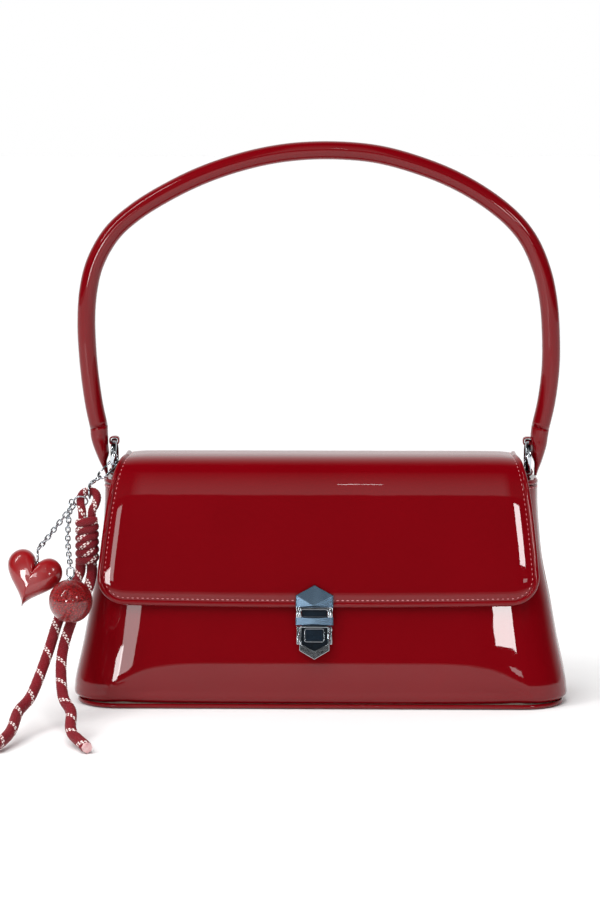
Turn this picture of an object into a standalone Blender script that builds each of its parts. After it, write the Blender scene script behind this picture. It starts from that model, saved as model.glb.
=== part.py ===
"""A small baguette bag in dark red patent leather.

It has a lofted body with a rim and a base, a flap with a push lock, a round handle on two
O-rings, and a cord charm with a heart and a ball that hangs from the left ring.
Metres, +Z up, the front looks along -Y. The origin is the middle of the base's underside.
"""

import math

import bmesh
import bpy
from mathutils import Matrix, Vector

# Driving dimensions
BAG_WIDTH = 0.2712
BAG_DEPTH = 0.0850
RIM_HEIGHT = 0.1197
WALL = 0.0020
LINING = 0.0010
HANDLE_SPAN = 0.2560
HANDLE_HEIGHT = 0.1677
HANDLE_DIAMETER = 0.0100
FLAP_FLARE = 0.0116
FLAP_RING_GAP = 0.0040
FLAP_RISE = 0.0142
FLAP_DROP = 0.0769
RING_RADIUS = 0.0084
RING_WIDTH = 0.0032
RING_THICKNESS = 0.0024
CORD_DIAMETER = 0.0061
CLEARANCE = 0.0003
WELD_DISTANCE = 0.00001
OVERRUN = 0.0040

# Body of the bag: height, half-width and half-depth of the walls, as shares from the lowest
# edge of the walls to the rim
BODY_PROFILE_SHARES = (
    (0.000, 0.987, 0.965),
    (0.020, 1.000, 1.000),
    (0.055, 0.9985, 0.998),
    (0.110, 0.9920, 0.986),
    (0.265, 0.9624, 0.906),
    (0.454, 0.9322, 0.800),
    (0.634, 0.8997, 0.706),
    (0.780, 0.8850, 0.635),
    (0.900, 0.8776, 0.576),
    (1.000, 0.8761, 0.529),
)
BASE_CORNER = 0.0240
RIM_CORNER = 0.0160
CORNER_LIMIT_SHARE = 0.95
BASE_PANEL_THICKNESS = 0.0016
BASE_PIPING_HEIGHT = 0.0024
BASE_PIPING_WIDTH = 0.0026
PIPING_FLOOR_GAP = 0.0003
BOARD_THICKNESS = 0.0020
BINDING_HEIGHT = 0.0026
BINDING_LIP = 0.0006
ARC_STEPS = 6
FLAT_STEPS = 2
PROFILE_STEPS = 1

# Flap
FLAP_BACK_RADIUS = 0.0130
FLAP_FRONT_RADIUS = 0.0170
FLAP_SLOPE = math.radians(9.8)
FLAP_STANDOFF = 0.0026
FLAP_HINGE_DROP = 0.0007
FLAP_HINGE_STANDOFF = 0.0024
FLAP_CORNER = 0.0150
FLAP_SAG = 0.0016
FLAP_LEAN = -0.0011
FLAP_FLARE_POWER = 0.5
FLAP_PANEL_THICKNESS = 0.0014
FLAP_LINING_THICKNESS = 0.0009
FLAP_ROLL_DIAMETER = 0.0030

# Handle: places of its centre line on the left arm and on the right one, from the foot up, as
# shares of half the span and of the rise. The soft handle leans a little to the left
HANDLE_LEFT_SHARES = (
    (0.9580, 0.095),
    (0.9810, 0.183),
    (1.0010, 0.314),
    (1.0080, 0.445),
    (0.9960, 0.554),
    (0.9620, 0.645),
    (0.8920, 0.733),
    (0.7900, 0.802),
    (0.6600, 0.863),
    (0.5200, 0.915),
    (0.3700, 0.956),
    (0.2200, 0.984),
    (0.0700, 0.998),
)
HANDLE_RIGHT_SHARES = (
    (0.9450, 0.095),
    (0.9700, 0.183),
    (0.9860, 0.290),
    (0.9860, 0.400),
    (0.9740, 0.510),
    (0.9450, 0.610),
    (0.8910, 0.705),
    (0.8120, 0.780),
    (0.6950, 0.850),
    (0.5600, 0.908),
    (0.4100, 0.953),
    (0.2500, 0.986),
    (0.0900, 0.999),
)
HANDLE_LEATHER = 0.0012

# Rings and the leather tabs that hold them
RING_RISE = 0.0143
TAB_LEATHER = 0.0010
TAB_WIDTH = 0.0060
TAB_LENGTH = 0.0220

# Colours are linear
PATENT_RED = (0.195, 0.0012, 0.0040)
LINING_RED = (0.090, 0.0030, 0.0060)
BOARD_GREY = (0.180, 0.160, 0.140)
CHROME_GREY = (0.620, 0.640, 0.660)
INLAY_BLACK = (0.010, 0.012, 0.015)
CORD_RED = (0.160, 0.004, 0.010)
RESIN_RED = (0.330, 0.002, 0.004)
CORE_CREAM = (0.640, 0.560, 0.460)


def ring_height():
    """Height of the rings' centres, above the rim."""
    return RIM_HEIGHT + RING_RISE


def flap_crest():
    """Height of the flap's highest line, above the rim."""
    return RIM_HEIGHT + FLAP_RISE


def flap_edge():
    """Height of the flap's lower edge."""
    return flap_crest() - FLAP_DROP


def flap_top_width():
    """Width of the flap's top, which fits between the rings."""
    return 2 * (ring_spread() - FLAP_RING_GAP - RING_WIDTH / 2)


def flap_width():
    """Width of the flap just above its lower corners."""
    return flap_top_width() + 2 * FLAP_FLARE


def remove_scene_objects():
    """Empty the scene before the bag is built."""
    for item in list(bpy.data.objects):
        bpy.data.objects.remove(item, do_unlink=True)


def make_collection(name):
    """A collection in the scene."""
    collection = bpy.data.collections.new(name)
    bpy.context.scene.collection.children.link(collection)
    return collection


remove_scene_objects()
BAG = make_collection("baguette_bag")
CUTTERS = make_collection("cutters")


def make_material(name, colour, roughness, metallic):
    """A Principled BSDF with the part's colour, roughness and metallic value."""
    material = bpy.data.materials.new(name)
    material.use_nodes = True
    shader = material.node_tree.nodes["Principled BSDF"]
    shader.inputs["Base Color"].default_value = (*colour, 1.0)
    shader.inputs["Roughness"].default_value = roughness
    shader.inputs["Metallic"].default_value = metallic
    material.diffuse_color = (*colour, 1.0)
    return material


FINISHES = {
    "patent": (PATENT_RED, 0.05, 0.0),
    "lining": (LINING_RED, 0.85, 0.0),
    "board": (BOARD_GREY, 0.80, 0.0),
    "chrome": (CHROME_GREY, 0.12, 1.0),
    "inlay": (INLAY_BLACK, 0.08, 0.0),
    "cord": (CORD_RED, 0.75, 0.0),
    "resin": (RESIN_RED, 0.08, 0.0),
    "core": (CORE_CREAM, 0.80, 0.0),
}


def pivot(name, location, rotation=None):
    """An empty on a joint's axis or at a sub-part's reference point."""
    empty = bpy.data.objects.new(name, None)
    empty.matrix_basis = Matrix.Translation(location) @ (rotation or Matrix()).to_4x4()
    BAG.objects.link(empty)
    return empty


def add_part(name, data, finish, carrier=None, local=False):
    """An object for one sub-part. It keeps its world place under its carrier, or takes the
    carrier's frame if it is local."""
    part = bpy.data.objects.new(name, data)
    colour, roughness, metallic = FINISHES[finish]
    part.data.materials.append(make_material(name + "_finish", colour, roughness, metallic))
    BAG.objects.link(part)
    if carrier:
        part.parent = carrier
        if not local:
            part.matrix_parent_inverse = carrier.matrix_basis.inverted()
    return part


def add_cutter(name, data, carrier=None):
    """A hidden object that only cuts others."""
    cutter = bpy.data.objects.new(name, data)
    cutter.hide_render = True
    cutter.display_type = "WIRE"
    CUTTERS.objects.link(cutter)
    if carrier:
        cutter.parent = carrier
    return cutter


def combine(part, other, operation):
    """A Boolean modifier that cuts or joins another object."""
    boolean = part.modifiers.new(operation.lower() + "_" + other.name, "BOOLEAN")
    boolean.operation = operation
    boolean.object = other
    boolean.solver = "EXACT"


def solidify(part, thickness, offset=-1.0):
    """A wall on an open surface, inwards from it."""
    wall = part.modifiers.new("wall", "SOLIDIFY")
    wall.thickness = thickness
    wall.offset = offset


def smooth_path(points, steps):
    """Points along a smooth curve through the given ones, a number of steps to each span."""
    path = [Vector(point) for point in points]
    ends = [path[0] * 2 - path[1]] + path + [path[-1] * 2 - path[-2]]
    smooth = []
    for before, start, end, after in zip(ends, ends[1:], ends[2:], ends[3:]):
        for step in range(steps):
            t = step / steps
            bend = (end - before) * t
            bend += (before * 2 - start * 5 + end * 4 - after) * t ** 2
            bend += (start * 3 - end * 3 + after - before) * t ** 3
            smooth.append(start + bend / 2)
    smooth.append(path[-1])
    return smooth


def even_path(points, spacing):
    """Points at about even distances along a path."""
    lengths = [0.0]
    for start, end in zip(points, points[1:]):
        lengths.append(lengths[-1] + (end - start).length)
    count = max(2, round(lengths[-1] / spacing))
    even = []
    span = 0
    for index in range(count + 1):
        distance = lengths[-1] * index / count
        while span < len(points) - 2 and lengths[span + 1] < distance:
            span += 1
        share = (distance - lengths[span]) / (lengths[span + 1] - lengths[span])
        even.append(points[span].lerp(points[span + 1], share))
    return even


def path_length(points):
    """Length of a path."""
    return sum((end - start).length for start, end in zip(points, points[1:]))


def grid_mesh(name, rows, closed_columns=False, closed_rows=False, floor=False):
    """Rows of points joined by faces. Columns run to the right and rows run up, seen from
    outside."""
    mesh = bpy.data.meshes.new(name)
    builder = bmesh.new()
    grid = [[builder.verts.new(point) for point in row] for row in rows]
    row_pairs = list(zip(grid, grid[1:]))
    if closed_rows:
        row_pairs.append((grid[-1], grid[0]))
    for low, high in row_pairs:
        columns = len(low) if closed_columns else len(low) - 1
        for column in range(columns):
            beside = (column + 1) % len(low)
            builder.faces.new((low[column], low[beside], high[beside], high[column]))
    if floor:
        builder.faces.new(list(reversed(grid[0])))
    builder.to_mesh(mesh)
    builder.free()
    mesh.shade_smooth()
    return mesh


def wire_curve(name, points, radius, resolution=2, closed=False, capped=True):
    """A round wire, tube or cord along a path."""
    curve = bpy.data.curves.new(name, "CURVE")
    curve.dimensions = "3D"
    curve.bevel_depth = radius
    curve.bevel_resolution = resolution
    curve.use_fill_caps = capped
    spline = curve.splines.new("POLY")
    spline.points.add(len(points) - 1)
    for place, point in zip(spline.points, points):
        place.co = (*point, 1.0)
    spline.use_cyclic_u = closed
    return curve


def flat_curve(name, outlines, thickness):
    """A flat plate from its outline and any holes, in its own XY plane."""
    curve = bpy.data.curves.new(name, "CURVE")
    curve.dimensions = "2D"
    curve.fill_mode = "BOTH"
    curve.extrude = thickness / 2
    for outline in outlines:
        spline = curve.splines.new("POLY")
        spline.points.add(len(outline) - 1)
        for place, point in zip(spline.points, outline):
            place.co = (point[0], point[1], 0.0, 1.0)
        spline.use_cyclic_u = True
    return curve


def plain_mesh(name, curve, transform=None):
    """A closed mesh from a curve, so that it can be cut or joined."""
    holder = bpy.data.objects.new(name + "_curve", curve)
    BAG.objects.link(holder)
    bpy.context.view_layer.update()
    evaluated = holder.evaluated_get(bpy.context.evaluated_depsgraph_get())
    mesh = bpy.data.meshes.new_from_object(evaluated)
    bpy.data.objects.remove(holder, do_unlink=True)
    builder = bmesh.new()
    builder.from_mesh(mesh)
    bmesh.ops.remove_doubles(builder, verts=builder.verts, dist=WELD_DISTANCE)
    bmesh.ops.recalc_face_normals(builder, faces=builder.faces)
    if transform:
        builder.transform(transform)
    builder.to_mesh(mesh)
    builder.free()
    mesh.name = name
    return mesh


def body_rows():
    """Height, half-width, half-depth and corner radius of the walls, from the base up."""
    start = wall_start()
    rows = []
    for share, width_share, depth_share in smooth_path(BODY_PROFILE_SHARES, PROFILE_STEPS):
        half_depth = BAG_DEPTH / 2 * depth_share
        corner = BASE_CORNER + (RIM_CORNER - BASE_CORNER) * share
        corner = min(corner, CORNER_LIMIT_SHARE * half_depth)
        height = start + (RIM_HEIGHT - start) * share
        rows.append((height, BAG_WIDTH / 2 * width_share, half_depth, corner))
    return rows


def wall_start():
    """Height of the walls' lowest edge, above the piping."""
    return PIPING_FLOOR_GAP + BASE_PIPING_HEIGHT + CLEARANCE


def body_at(height):
    """Half-width, half-depth and corner radius of the walls at a height."""
    rows = body_rows()
    for low, high in zip(rows, rows[1:]):
        if height <= high[0] or high is rows[-1]:
            share = (height - low[0]) / (high[0] - low[0])
            return [a + (b - a) * share for a, b in zip(low[1:], high[1:])]


def front_half_plan(half_width, half_depth, corner, seam_gap):
    """Plan of the front half of a rounded rectangle, from the left side seam to the right."""
    quarter = [Vector((-half_width, -seam_gap))]
    centre = Vector((corner - half_width, corner - half_depth))
    for step in range(ARC_STEPS + 1):
        angle = math.pi + math.pi / 2 * step / ARC_STEPS
        quarter.append(centre + corner * Vector((math.cos(angle), math.sin(angle))))
    flat = half_width - corner
    middle = [Vector((flat * (2 * step / FLAT_STEPS - 1), -half_depth))
              for step in range(1, FLAT_STEPS)]
    mirrored = [Vector((-point.x, point.y)) for point in reversed(quarter)]
    return quarter + middle + mirrored


def whole_plan(half_width, half_depth, corner):
    """The whole rounded rectangle, anticlockwise from the left side."""
    front = front_half_plan(half_width, half_depth, corner, 0.0)
    back = [Vector((-point.x, -point.y)) for point in front]
    return front[:-1] + back[:-1]


def wall_mesh(name, side):
    """The front wall (side -1) or the back wall (side 1), which wraps round to the seams."""
    rows = []
    for height, half_width, half_depth, corner in body_rows():
        plan = front_half_plan(half_width, half_depth, corner, CLEARANCE / 2)
        rows.append([Vector((-side * point.x, -side * point.y, height)) for point in plan])
    return grid_mesh(name, rows)


def band_mesh(name, plan, profile):
    """A closed band round a plan. Its profile lists how far out and how high it goes."""
    half_width, half_depth, corner = plan
    rows = []
    for out, height in profile:
        outline = whole_plan(half_width + out, half_depth + out, corner + out)
        rows.append([Vector((point.x, point.y, height)) for point in outline])
    return grid_mesh(name, rows, closed_columns=True, closed_rows=True)


def rounded_profile(inner, outer, low, high, corner):
    """Section of a band with chamfered edges, anticlockwise from its outer lower edge."""
    return (
        (outer, low + corner),
        (outer, high - corner),
        (outer - corner, high),
        (inner + corner, high),
        (inner, high - corner),
        (inner, low + corner),
        (inner + corner, low),
        (outer - corner, low),
    )


def build_base():
    """Base panel, the stiff board on it and the piping round the seam."""
    half_width, half_depth, corner = body_at(wall_start())
    inset = BASE_PIPING_WIDTH + CLEARANCE
    plan = (half_width, half_depth, corner)
    section = rounded_profile(
        -BASE_PIPING_WIDTH, 0.0, PIPING_FLOOR_GAP, PIPING_FLOOR_GAP + BASE_PIPING_HEIGHT,
        BASE_PIPING_HEIGHT * PIPING_ROUND_SHARE)
    add_part("base_piping", band_mesh("base_piping", plan, section), "patent")
    outline = whole_plan(half_width - inset, half_depth - inset, corner - inset)
    base = add_part("base_panel", flat_curve("base_panel", [outline], BASE_PANEL_THICKNESS), "patent")
    base.location.z = BASE_PANEL_THICKNESS / 2
    board_low = BASE_PANEL_THICKNESS + CLEARANCE
    inset = max(inset, WALL + CLEARANCE)
    outline = whole_plan(half_width - inset, half_depth - inset, corner - inset)
    board = add_part("base_board", flat_curve("base_board", [outline], BOARD_THICKNESS), "board")
    board.location.z = board_low + BOARD_THICKNESS / 2


PIPING_ROUND_SHARE = 0.3


def build_walls():
    """Front and back panels of patent leather, which meet at the side seams."""
    for name, side in (("front_panel", -1), ("back_panel", 1)):
        panel = add_part(name, wall_mesh(name, side), "patent")
        solidify(panel, WALL)


def build_lining():
    """The cloth lining, an open tub inside the walls."""
    inset = lining_depth() - LINING
    floor = BASE_PANEL_THICKNESS + BOARD_THICKNESS + 2 * CLEARANCE
    half_width, half_depth, corner = body_at(floor)
    inner = inset + LINING_FLOOR_ROUND
    outline = whole_plan(half_width - inner, half_depth - inner, corner - inner)
    rows = [[Vector((point.x, point.y, floor)) for point in outline]]
    for height, half_width, half_depth, corner in body_rows():
        if height < floor + LINING_FLOOR_ROUND:
            continue
        outline = whole_plan(half_width - inset, half_depth - inset, corner - inset)
        rows.append([Vector((point.x, point.y, height)) for point in outline])
    mesh = grid_mesh("lining", rows, closed_columns=True, floor=True)
    solidify(add_part("lining", mesh, "lining"), LINING)


LINING_FLOOR_ROUND = 0.0025


def build_rim_binding():
    """The folded strip that covers the rim, a little proud of the walls."""
    plan = body_at(RIM_HEIGHT)
    low = RIM_HEIGHT + CLEARANCE
    inner = -lining_depth()
    section = rounded_profile(inner, BINDING_LIP, low, low + BINDING_HEIGHT,
                              BINDING_HEIGHT * BINDING_ROUND_SHARE)
    add_part("rim_binding", band_mesh("rim_binding", plan, section), "patent")


BINDING_ROUND_SHARE = 0.25


def lining_depth():
    """How far in the lining's inner face lies from the outside of the walls."""
    return WALL + CLEARANCE + CLEARANCE / 2 + LINING


def ring_spread():
    """Distance of each ring's middle plane from the bag's, so that its tab lies on the lining."""
    return body_at(RIM_HEIGHT)[0] - lining_depth() - CLEARANCE - TAB_LEATHER


def ring_centre(side):
    """Centre of the left (side -1) or right (side 1) ring, on the handle's axis."""
    return Vector((side * ring_spread(), 0.0, ring_height()))


def ring_band(name, side, grow):
    """A flat ring in the YZ plane, grown on all sides by a clearance."""
    half_width = RING_WIDTH / 2 + grow
    half_thick = RING_THICKNESS / 2 + grow
    edge = half_thick * RING_EDGE_SHARE
    section = (
        (half_width, half_thick - edge), (half_width - edge, half_thick),
        (edge - half_width, half_thick), (-half_width, half_thick - edge),
        (-half_width, edge - half_thick), (edge - half_width, -half_thick),
        (half_width - edge, -half_thick), (half_width, edge - half_thick))
    rows = []
    for step in range(RING_STEPS):
        angle = 2 * math.pi * step / RING_STEPS
        row = []
        for across, out in section:
            radius = RING_RADIUS + out
            offset = Vector((across, radius * math.sin(angle), radius * math.cos(angle)))
            row.append(ring_centre(side) + offset)
        rows.append(row)
    mesh = grid_mesh(name, rows, closed_columns=True, closed_rows=True)
    builder = bmesh.new()
    builder.from_mesh(mesh)
    bmesh.ops.recalc_face_normals(builder, faces=builder.faces)
    builder.to_mesh(mesh)
    builder.free()
    return mesh


RING_EDGE_SHARE = 0.35
RING_STEPS = 24


def tab_outline():
    """Side view of a folded leather tab: an eye round the ring's lowest stretch, then a strap."""
    eye_width = RING_WIDTH / 2 + CLEARANCE + TAB_LEATHER
    eye_height = RING_THICKNESS / 2 + CLEARANCE + TAB_LEATHER
    eye_centre = ring_height() - RING_RADIUS
    opening = math.pi + math.acos(TAB_LEATHER / eye_width)
    outline = [(-TAB_LEATHER, eye_centre - TAB_LENGTH)]
    for step in range(TAB_ARC_STEPS + 1):
        angle = opening - (2 * opening - math.pi) * step / TAB_ARC_STEPS
        outline.append((eye_width * math.cos(angle), eye_centre + eye_height * math.sin(angle)))
    outline.append((TAB_LEATHER, eye_centre - TAB_LENGTH))
    return outline


TAB_ARC_STEPS = 14


def build_rings():
    """Two O-rings on leather tabs that are sewn inside the side walls."""
    turn = Matrix.Rotation(math.pi / 2, 4, "X")
    for word, side in (("left", -1), ("right", 1)):
        add_part("ring_" + word, ring_band("ring_" + word, side, 0.0), "chrome")
        curve = flat_curve("ring_tab_" + word, [tab_outline()], TAB_WIDTH)
        place = Matrix.Translation(Vector((side * ring_spread(), 0.0, 0.0))) @ turn
        tab = add_part("ring_tab_" + word, plain_mesh("ring_tab_" + word, curve, place), "patent")
        passage = add_cutter("tab_eye_" + word, ring_band("tab_eye_" + word, side, CLEARANCE))
        combine(tab, passage, "DIFFERENCE")


def flap_section():
    """Path of the flap's middle surface from its hinge over the top to its lower edge: points
    in the YZ plane with the outward direction at each."""
    bottom_depth = body_at(flap_edge())[1] + FLAP_STANDOFF
    front_angle_height = flap_crest() - FLAP_FRONT_RADIUS * (1 - math.sin(FLAP_SLOPE))
    front_depth = bottom_depth - (front_angle_height - flap_edge()) * math.tan(FLAP_SLOPE)
    front_centre = Vector((FLAP_FRONT_RADIUS * math.cos(FLAP_SLOPE) - front_depth,
                           flap_crest() - FLAP_FRONT_RADIUS))
    back_centre = Vector((flap_hinge().y - FLAP_BACK_RADIUS, flap_crest() - FLAP_BACK_RADIUS))
    section = [(Vector((flap_hinge().y, flap_hinge_height())), Vector((1.0, 0.0)))]
    for step in range(BACK_ARC_STEPS + 1):
        angle = math.pi / 2 * step / BACK_ARC_STEPS
        out = Vector((math.cos(angle), math.sin(angle)))
        section.append((back_centre + out * FLAP_BACK_RADIUS, out))
    for step in range(FRONT_ARC_STEPS + 1):
        angle = math.pi / 2 + (math.pi / 2 - FLAP_SLOPE) * step / FRONT_ARC_STEPS
        out = Vector((math.cos(angle), math.sin(angle)))
        section.append((front_centre + out * FLAP_FRONT_RADIUS, out))
    start = section[-1][0]
    down = Vector((-math.sin(FLAP_SLOPE), -math.cos(FLAP_SLOPE)))
    length = (start.y - flap_edge()) / math.cos(FLAP_SLOPE)
    for step in range(1, SLOPE_STEPS + 1):
        section.append((start + down * length * slope_share(step), section[-1][1]))
    return section


BACK_ARC_STEPS = 4
FRONT_ARC_STEPS = 5
SLOPE_STEPS = 9


def slope_share(step):
    """Rows on the flap's slope stand closer towards its rounded lower corners."""
    share = step / SLOPE_STEPS
    return 1 - (1 - share) ** SLOPE_CROWDING


SLOPE_CROWDING = 1.7


def flap_hinge_height():
    """Height of the line that the flap turns about, just under the rim."""
    return RIM_HEIGHT - FLAP_HINGE_DROP


def flap_hinge():
    """The flap turns about the back's top edge."""
    return Vector((0.0, body_at(RIM_HEIGHT)[1] + FLAP_HINGE_STANDOFF, flap_hinge_height()))


def flare_share(height, on_front):
    """How much of its flare and of its lean to the left the flap has at a height."""
    if not on_front:
        return 0.0
    top = flap_crest() - FLAP_FRONT_RADIUS / 2
    flare_end = flap_edge() + FLAP_CORNER
    share = min(max((top - height) / (top - flare_end), 0.0), 1.0)
    return share ** FLAP_FLARE_POWER


def flap_half_width(height, on_front, inset):
    """Half-width of the flap at a height, drawn in by an inset and by the rounded corners."""
    half_width = flap_top_width() / 2
    if on_front:
        half_width += (flap_width() - flap_top_width()) / 2 * flare_share(height, on_front)
        rise = max(height - flap_edge(), 0.0) / math.cos(FLAP_SLOPE)
        if rise < FLAP_CORNER:
            drop = FLAP_CORNER - rise
            half_width += math.sqrt(max(FLAP_CORNER ** 2 - drop ** 2, 0.0)) - FLAP_CORNER
    return half_width - inset


def flap_rows(inset, lift):
    """Grid of points on the flap, drawn in from its edge and lifted off its middle surface."""
    section = flap_section()
    crest = min(range(len(section)), key=lambda index: abs(section[index][1].x))
    rows = []
    for index, (place, out) in enumerate(section):
        front = index > crest
        height = place.y
        half_width = flap_half_width(height, front, inset)
        lean = FLAP_LEAN * flare_share(height, front)
        if front and height < flap_edge() + FLAP_CORNER:
            reach = FLAP_CORNER - inset
            height_share = (flap_edge() + FLAP_CORNER - height) / FLAP_CORNER
            shift = inset * height_share
            place = place + Vector((math.sin(FLAP_SLOPE), math.cos(FLAP_SLOPE))) * shift
            drop = min(reach * height_share, reach)
            side = flap_width() / 2 - FLAP_CORNER
            half_width = side + math.sqrt(max(reach ** 2 - drop ** 2, 0.0))
        row = []
        for column in range(FLAP_COLUMNS + 1):
            share = 1 - 2 * column / FLAP_COLUMNS
            sag = FLAP_SAG * (1 - share ** 2) * smooth_share(front, index, crest, len(section))
            lower = Vector((-math.sin(FLAP_SLOPE), -math.cos(FLAP_SLOPE))) * sag
            point = place + out * lift + lower
            row.append(Vector((half_width * share + lean, point.x, point.y)))
        rows.append(row)
    return rows


FLAP_COLUMNS = 10


def smooth_share(front, index, crest, count):
    """How much of the lower edge's sag a row takes, none above the crest."""
    if not front:
        return 0.0
    return ((index - crest) / (count - 1 - crest)) ** 2


def flap_border(inset):
    """The flap's edge from the back left end round the front to the back right end."""
    rows = flap_rows(inset, 0.0)
    left = [row[-1] for row in rows]
    right = [row[0] for row in reversed(rows)]
    bottom = list(reversed(rows[-1]))[1:-1]
    return left + bottom + right


def build_flap(hinge):
    """The flap: patent leather outside, lining inside, and a rolled edge round both."""
    middle = FLAP_ROLL_DIAMETER / 2
    inset = FLAP_ROLL_DIAMETER + CLEARANCE
    outer = middle - FLAP_EDGE_STEP
    panel_mesh = grid_mesh("flap_panel", flap_rows(inset, outer))
    solidify(add_part("flap_panel", panel_mesh, "patent", hinge), FLAP_PANEL_THICKNESS)
    inner = outer - FLAP_PANEL_THICKNESS - CLEARANCE
    lining_mesh = grid_mesh("flap_lining", flap_rows(inset, inner))
    solidify(add_part("flap_lining", lining_mesh, "lining", hinge), FLAP_LINING_THICKNESS)
    border = flap_border(middle)
    roll = wire_curve("flap_edge_roll", border, FLAP_ROLL_DIAMETER / 2, 1)
    add_part("flap_edge_roll", roll, "patent", hinge)


FLAP_EDGE_STEP = 0.0002


def handle_path():
    """Centre line of the handle's tube, from its left end over the top to its right end."""
    left = [Vector((-HANDLE_SPAN / 2 * x, 0.0, ring_height() + HANDLE_HEIGHT * z))
            for x, z in HANDLE_LEFT_SHARES]
    right = [Vector((HANDLE_SPAN / 2 * x, 0.0, ring_height() + HANDLE_HEIGHT * z))
             for x, z in reversed(HANDLE_RIGHT_SHARES)]
    return even_path(smooth_path(left + right, HANDLE_STEPS), HANDLE_DIAMETER * HANDLE_STEP_SHARE)


def build_handle(swing):
    """A round leather tube over a soft core, with a sewn end on each ring."""
    path = handle_path()
    cover = wire_curve("handle_cover", path, HANDLE_DIAMETER / 2, 3, capped=False)
    solidify(add_part("handle_cover", cover, "patent", swing), HANDLE_LEATHER)
    core_radius = HANDLE_DIAMETER / 2 - HANDLE_LEATHER - CLEARANCE
    add_part("handle_core", wire_curve("handle_core", path, core_radius, 1), "core", swing)
    for word, side in (("left", -1), ("right", 1)):
        build_handle_end(word, side, swing)


HANDLE_STEP_SHARE = 1.3
HANDLE_STEPS = 6


# Sections of a handle end below the tube, down to its tongue: height above the ring's centre,
# distance of the inner and outer faces from the ring's middle plane, and half-width along Y,
# as shares of the handle's diameter
HANDLE_END_SHARES = (
    (1.050, 0.120, 1.090, 0.505),
    (0.600, 0.165, 1.030, 0.530),
    (0.100, 0.185, 0.900, 0.540),
    (-0.330, 0.350, 0.760, 0.500),
    (-0.700, 0.350, 0.620, 0.400),
    (-0.960, 0.360, 0.540, 0.240),
    (-1.070, 0.380, 0.520, 0.080),
)


def build_handle_end(word, side, swing):
    """A leather end that narrows from the tube to a flat tongue beside the ring, with a loop
    of leather round the ring's top."""
    angles = [2 * math.pi * step / HANDLE_END_SIDES for step in range(HANDLE_END_SIDES)]
    path = handle_path() if side < 0 else list(reversed(handle_path()))
    along = (path[1] - path[0]).normalized()
    outwards = Vector((along.z, 0.0, -along.x)) * side
    top = path[0] - along * CLEARANCE
    radius = HANDLE_DIAMETER / 2
    rows = [[top + outwards * radius * math.cos(angle) + Vector((0.0, radius * math.sin(angle), 0.0))
             for angle in angles]]
    lean = HANDLE_LEAN_SHARES[word]
    for height, inner, outer, half in HANDLE_END_SHARES:
        centre = ring_spread() + ((inner + outer) / 2 + lean * max(height + 1, 0)) * HANDLE_DIAMETER
        half_x = (outer - inner) / 2 * HANDLE_DIAMETER
        half_y = half * HANDLE_DIAMETER
        z = ring_height() + height * HANDLE_DIAMETER
        rows.append([Vector((side * (centre + half_x * math.cos(angle)), half_y * math.sin(angle), z))
                     for angle in angles])
    name = "handle_end_" + word
    end = add_part(name, closed_loft(name, rows), "patent", swing)
    loop = add_cutter("handle_loop_" + word, handle_loop(word, side))
    combine(end, loop, "UNION")
    passage = add_cutter("handle_eye_" + word, ring_band("handle_eye_" + word, side, CLEARANCE))
    combine(end, passage, "DIFFERENCE")


HANDLE_END_SIDES = 14
HANDLE_LEAN_SHARES = {"left": 0.11, "right": 0.01}


def closed_loft(name, rows):
    """A closed body through rings of points, with a face on each end."""
    mesh = bpy.data.meshes.new(name)
    builder = bmesh.new()
    grid = [[builder.verts.new(point) for point in row] for row in rows]
    for low, high in zip(grid, grid[1:]):
        for column, point in enumerate(low):
            beside = (column + 1) % len(low)
            builder.faces.new((point, low[beside], high[beside], high[column]))
    builder.faces.new(grid[0])
    builder.faces.new(grid[-1])
    bmesh.ops.recalc_face_normals(builder, faces=builder.faces)
    builder.to_mesh(mesh)
    builder.free()
    mesh.shade_smooth()
    return mesh


def handle_loop(word, side):
    """The leather that goes round the ring's top stretch, seen from the side."""
    half_width = RING_WIDTH / 2 + CLEARANCE + TAB_LEATHER
    low = ring_height() + RING_RADIUS - RING_THICKNESS / 2 - CLEARANCE - TAB_LEATHER
    high = ring_height() + RING_RADIUS + RING_THICKNESS / 2 + CLEARANCE + TAB_LEATHER
    outer = HANDLE_DIAMETER / 2
    corner = TAB_LEATHER
    outline = [
        (outer, low), (outer, high), (corner - half_width, high), (-half_width, high - corner),
        (-half_width, low + corner), (corner - half_width, low)]
    if side < 0:
        outline = [(-x, z) for x, z in outline]
    curve = flat_curve("handle_loop_" + word, [outline], TAB_WIDTH)
    turn = Matrix.Rotation(math.pi / 2, 4, "X")
    place = Matrix.Translation(Vector((side * ring_spread(), 0.0, 0.0))) @ turn
    return plain_mesh("handle_loop_" + word, curve, place)


# Lock. Its case stands in a frame on the front wall and its hasp in one on the flap, both with
# X across, Z up the slope and -Y out of it
LOCK_OFFSET = -0.0030
LOCK_DROP = 0.0119
CASE_WIDTH = 0.0174
CASE_SHOULDER = 0.0125
CASE_TIP = 0.0181
CASE_THICKNESS = 0.0047
CASE_FLOOR = 0.0016
CASE_TOP_WIDTH = 0.0136
CASE_TOP_GAP = 0.0006
CASE_TOP_THICKNESS = 0.0030
CATCH_WIDTH = 0.0034
CATCH_THICKNESS = 0.0009
CATCH_RISE = 0.0012
BUTTON_WIDTH = 0.0108
BUTTON_HEIGHT = 0.0074
BUTTON_DROP = 0.0013
BUTTON_TRAVEL = 0.0015
BUTTON_PROUD = 0.0006
BUTTON_CORNER = 0.0016
HASP_WIDTH = 0.0204
HASP_SHOULDER = 0.0050
HASP_APEX = 0.0107
HASP_PEAK = 0.0012
HASP_PLATE = 0.0012
HASP_WINDOW_WIDTH = 0.0148
HASP_WINDOW_HEIGHT = 0.0036
HASP_BAR = 0.0048
HASP_HOOK = 0.0014
SCREW_DIAMETER = 0.0020
SCREW_SPREAD = 0.0100
SCREW_HEIGHT = 0.0040
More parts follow.
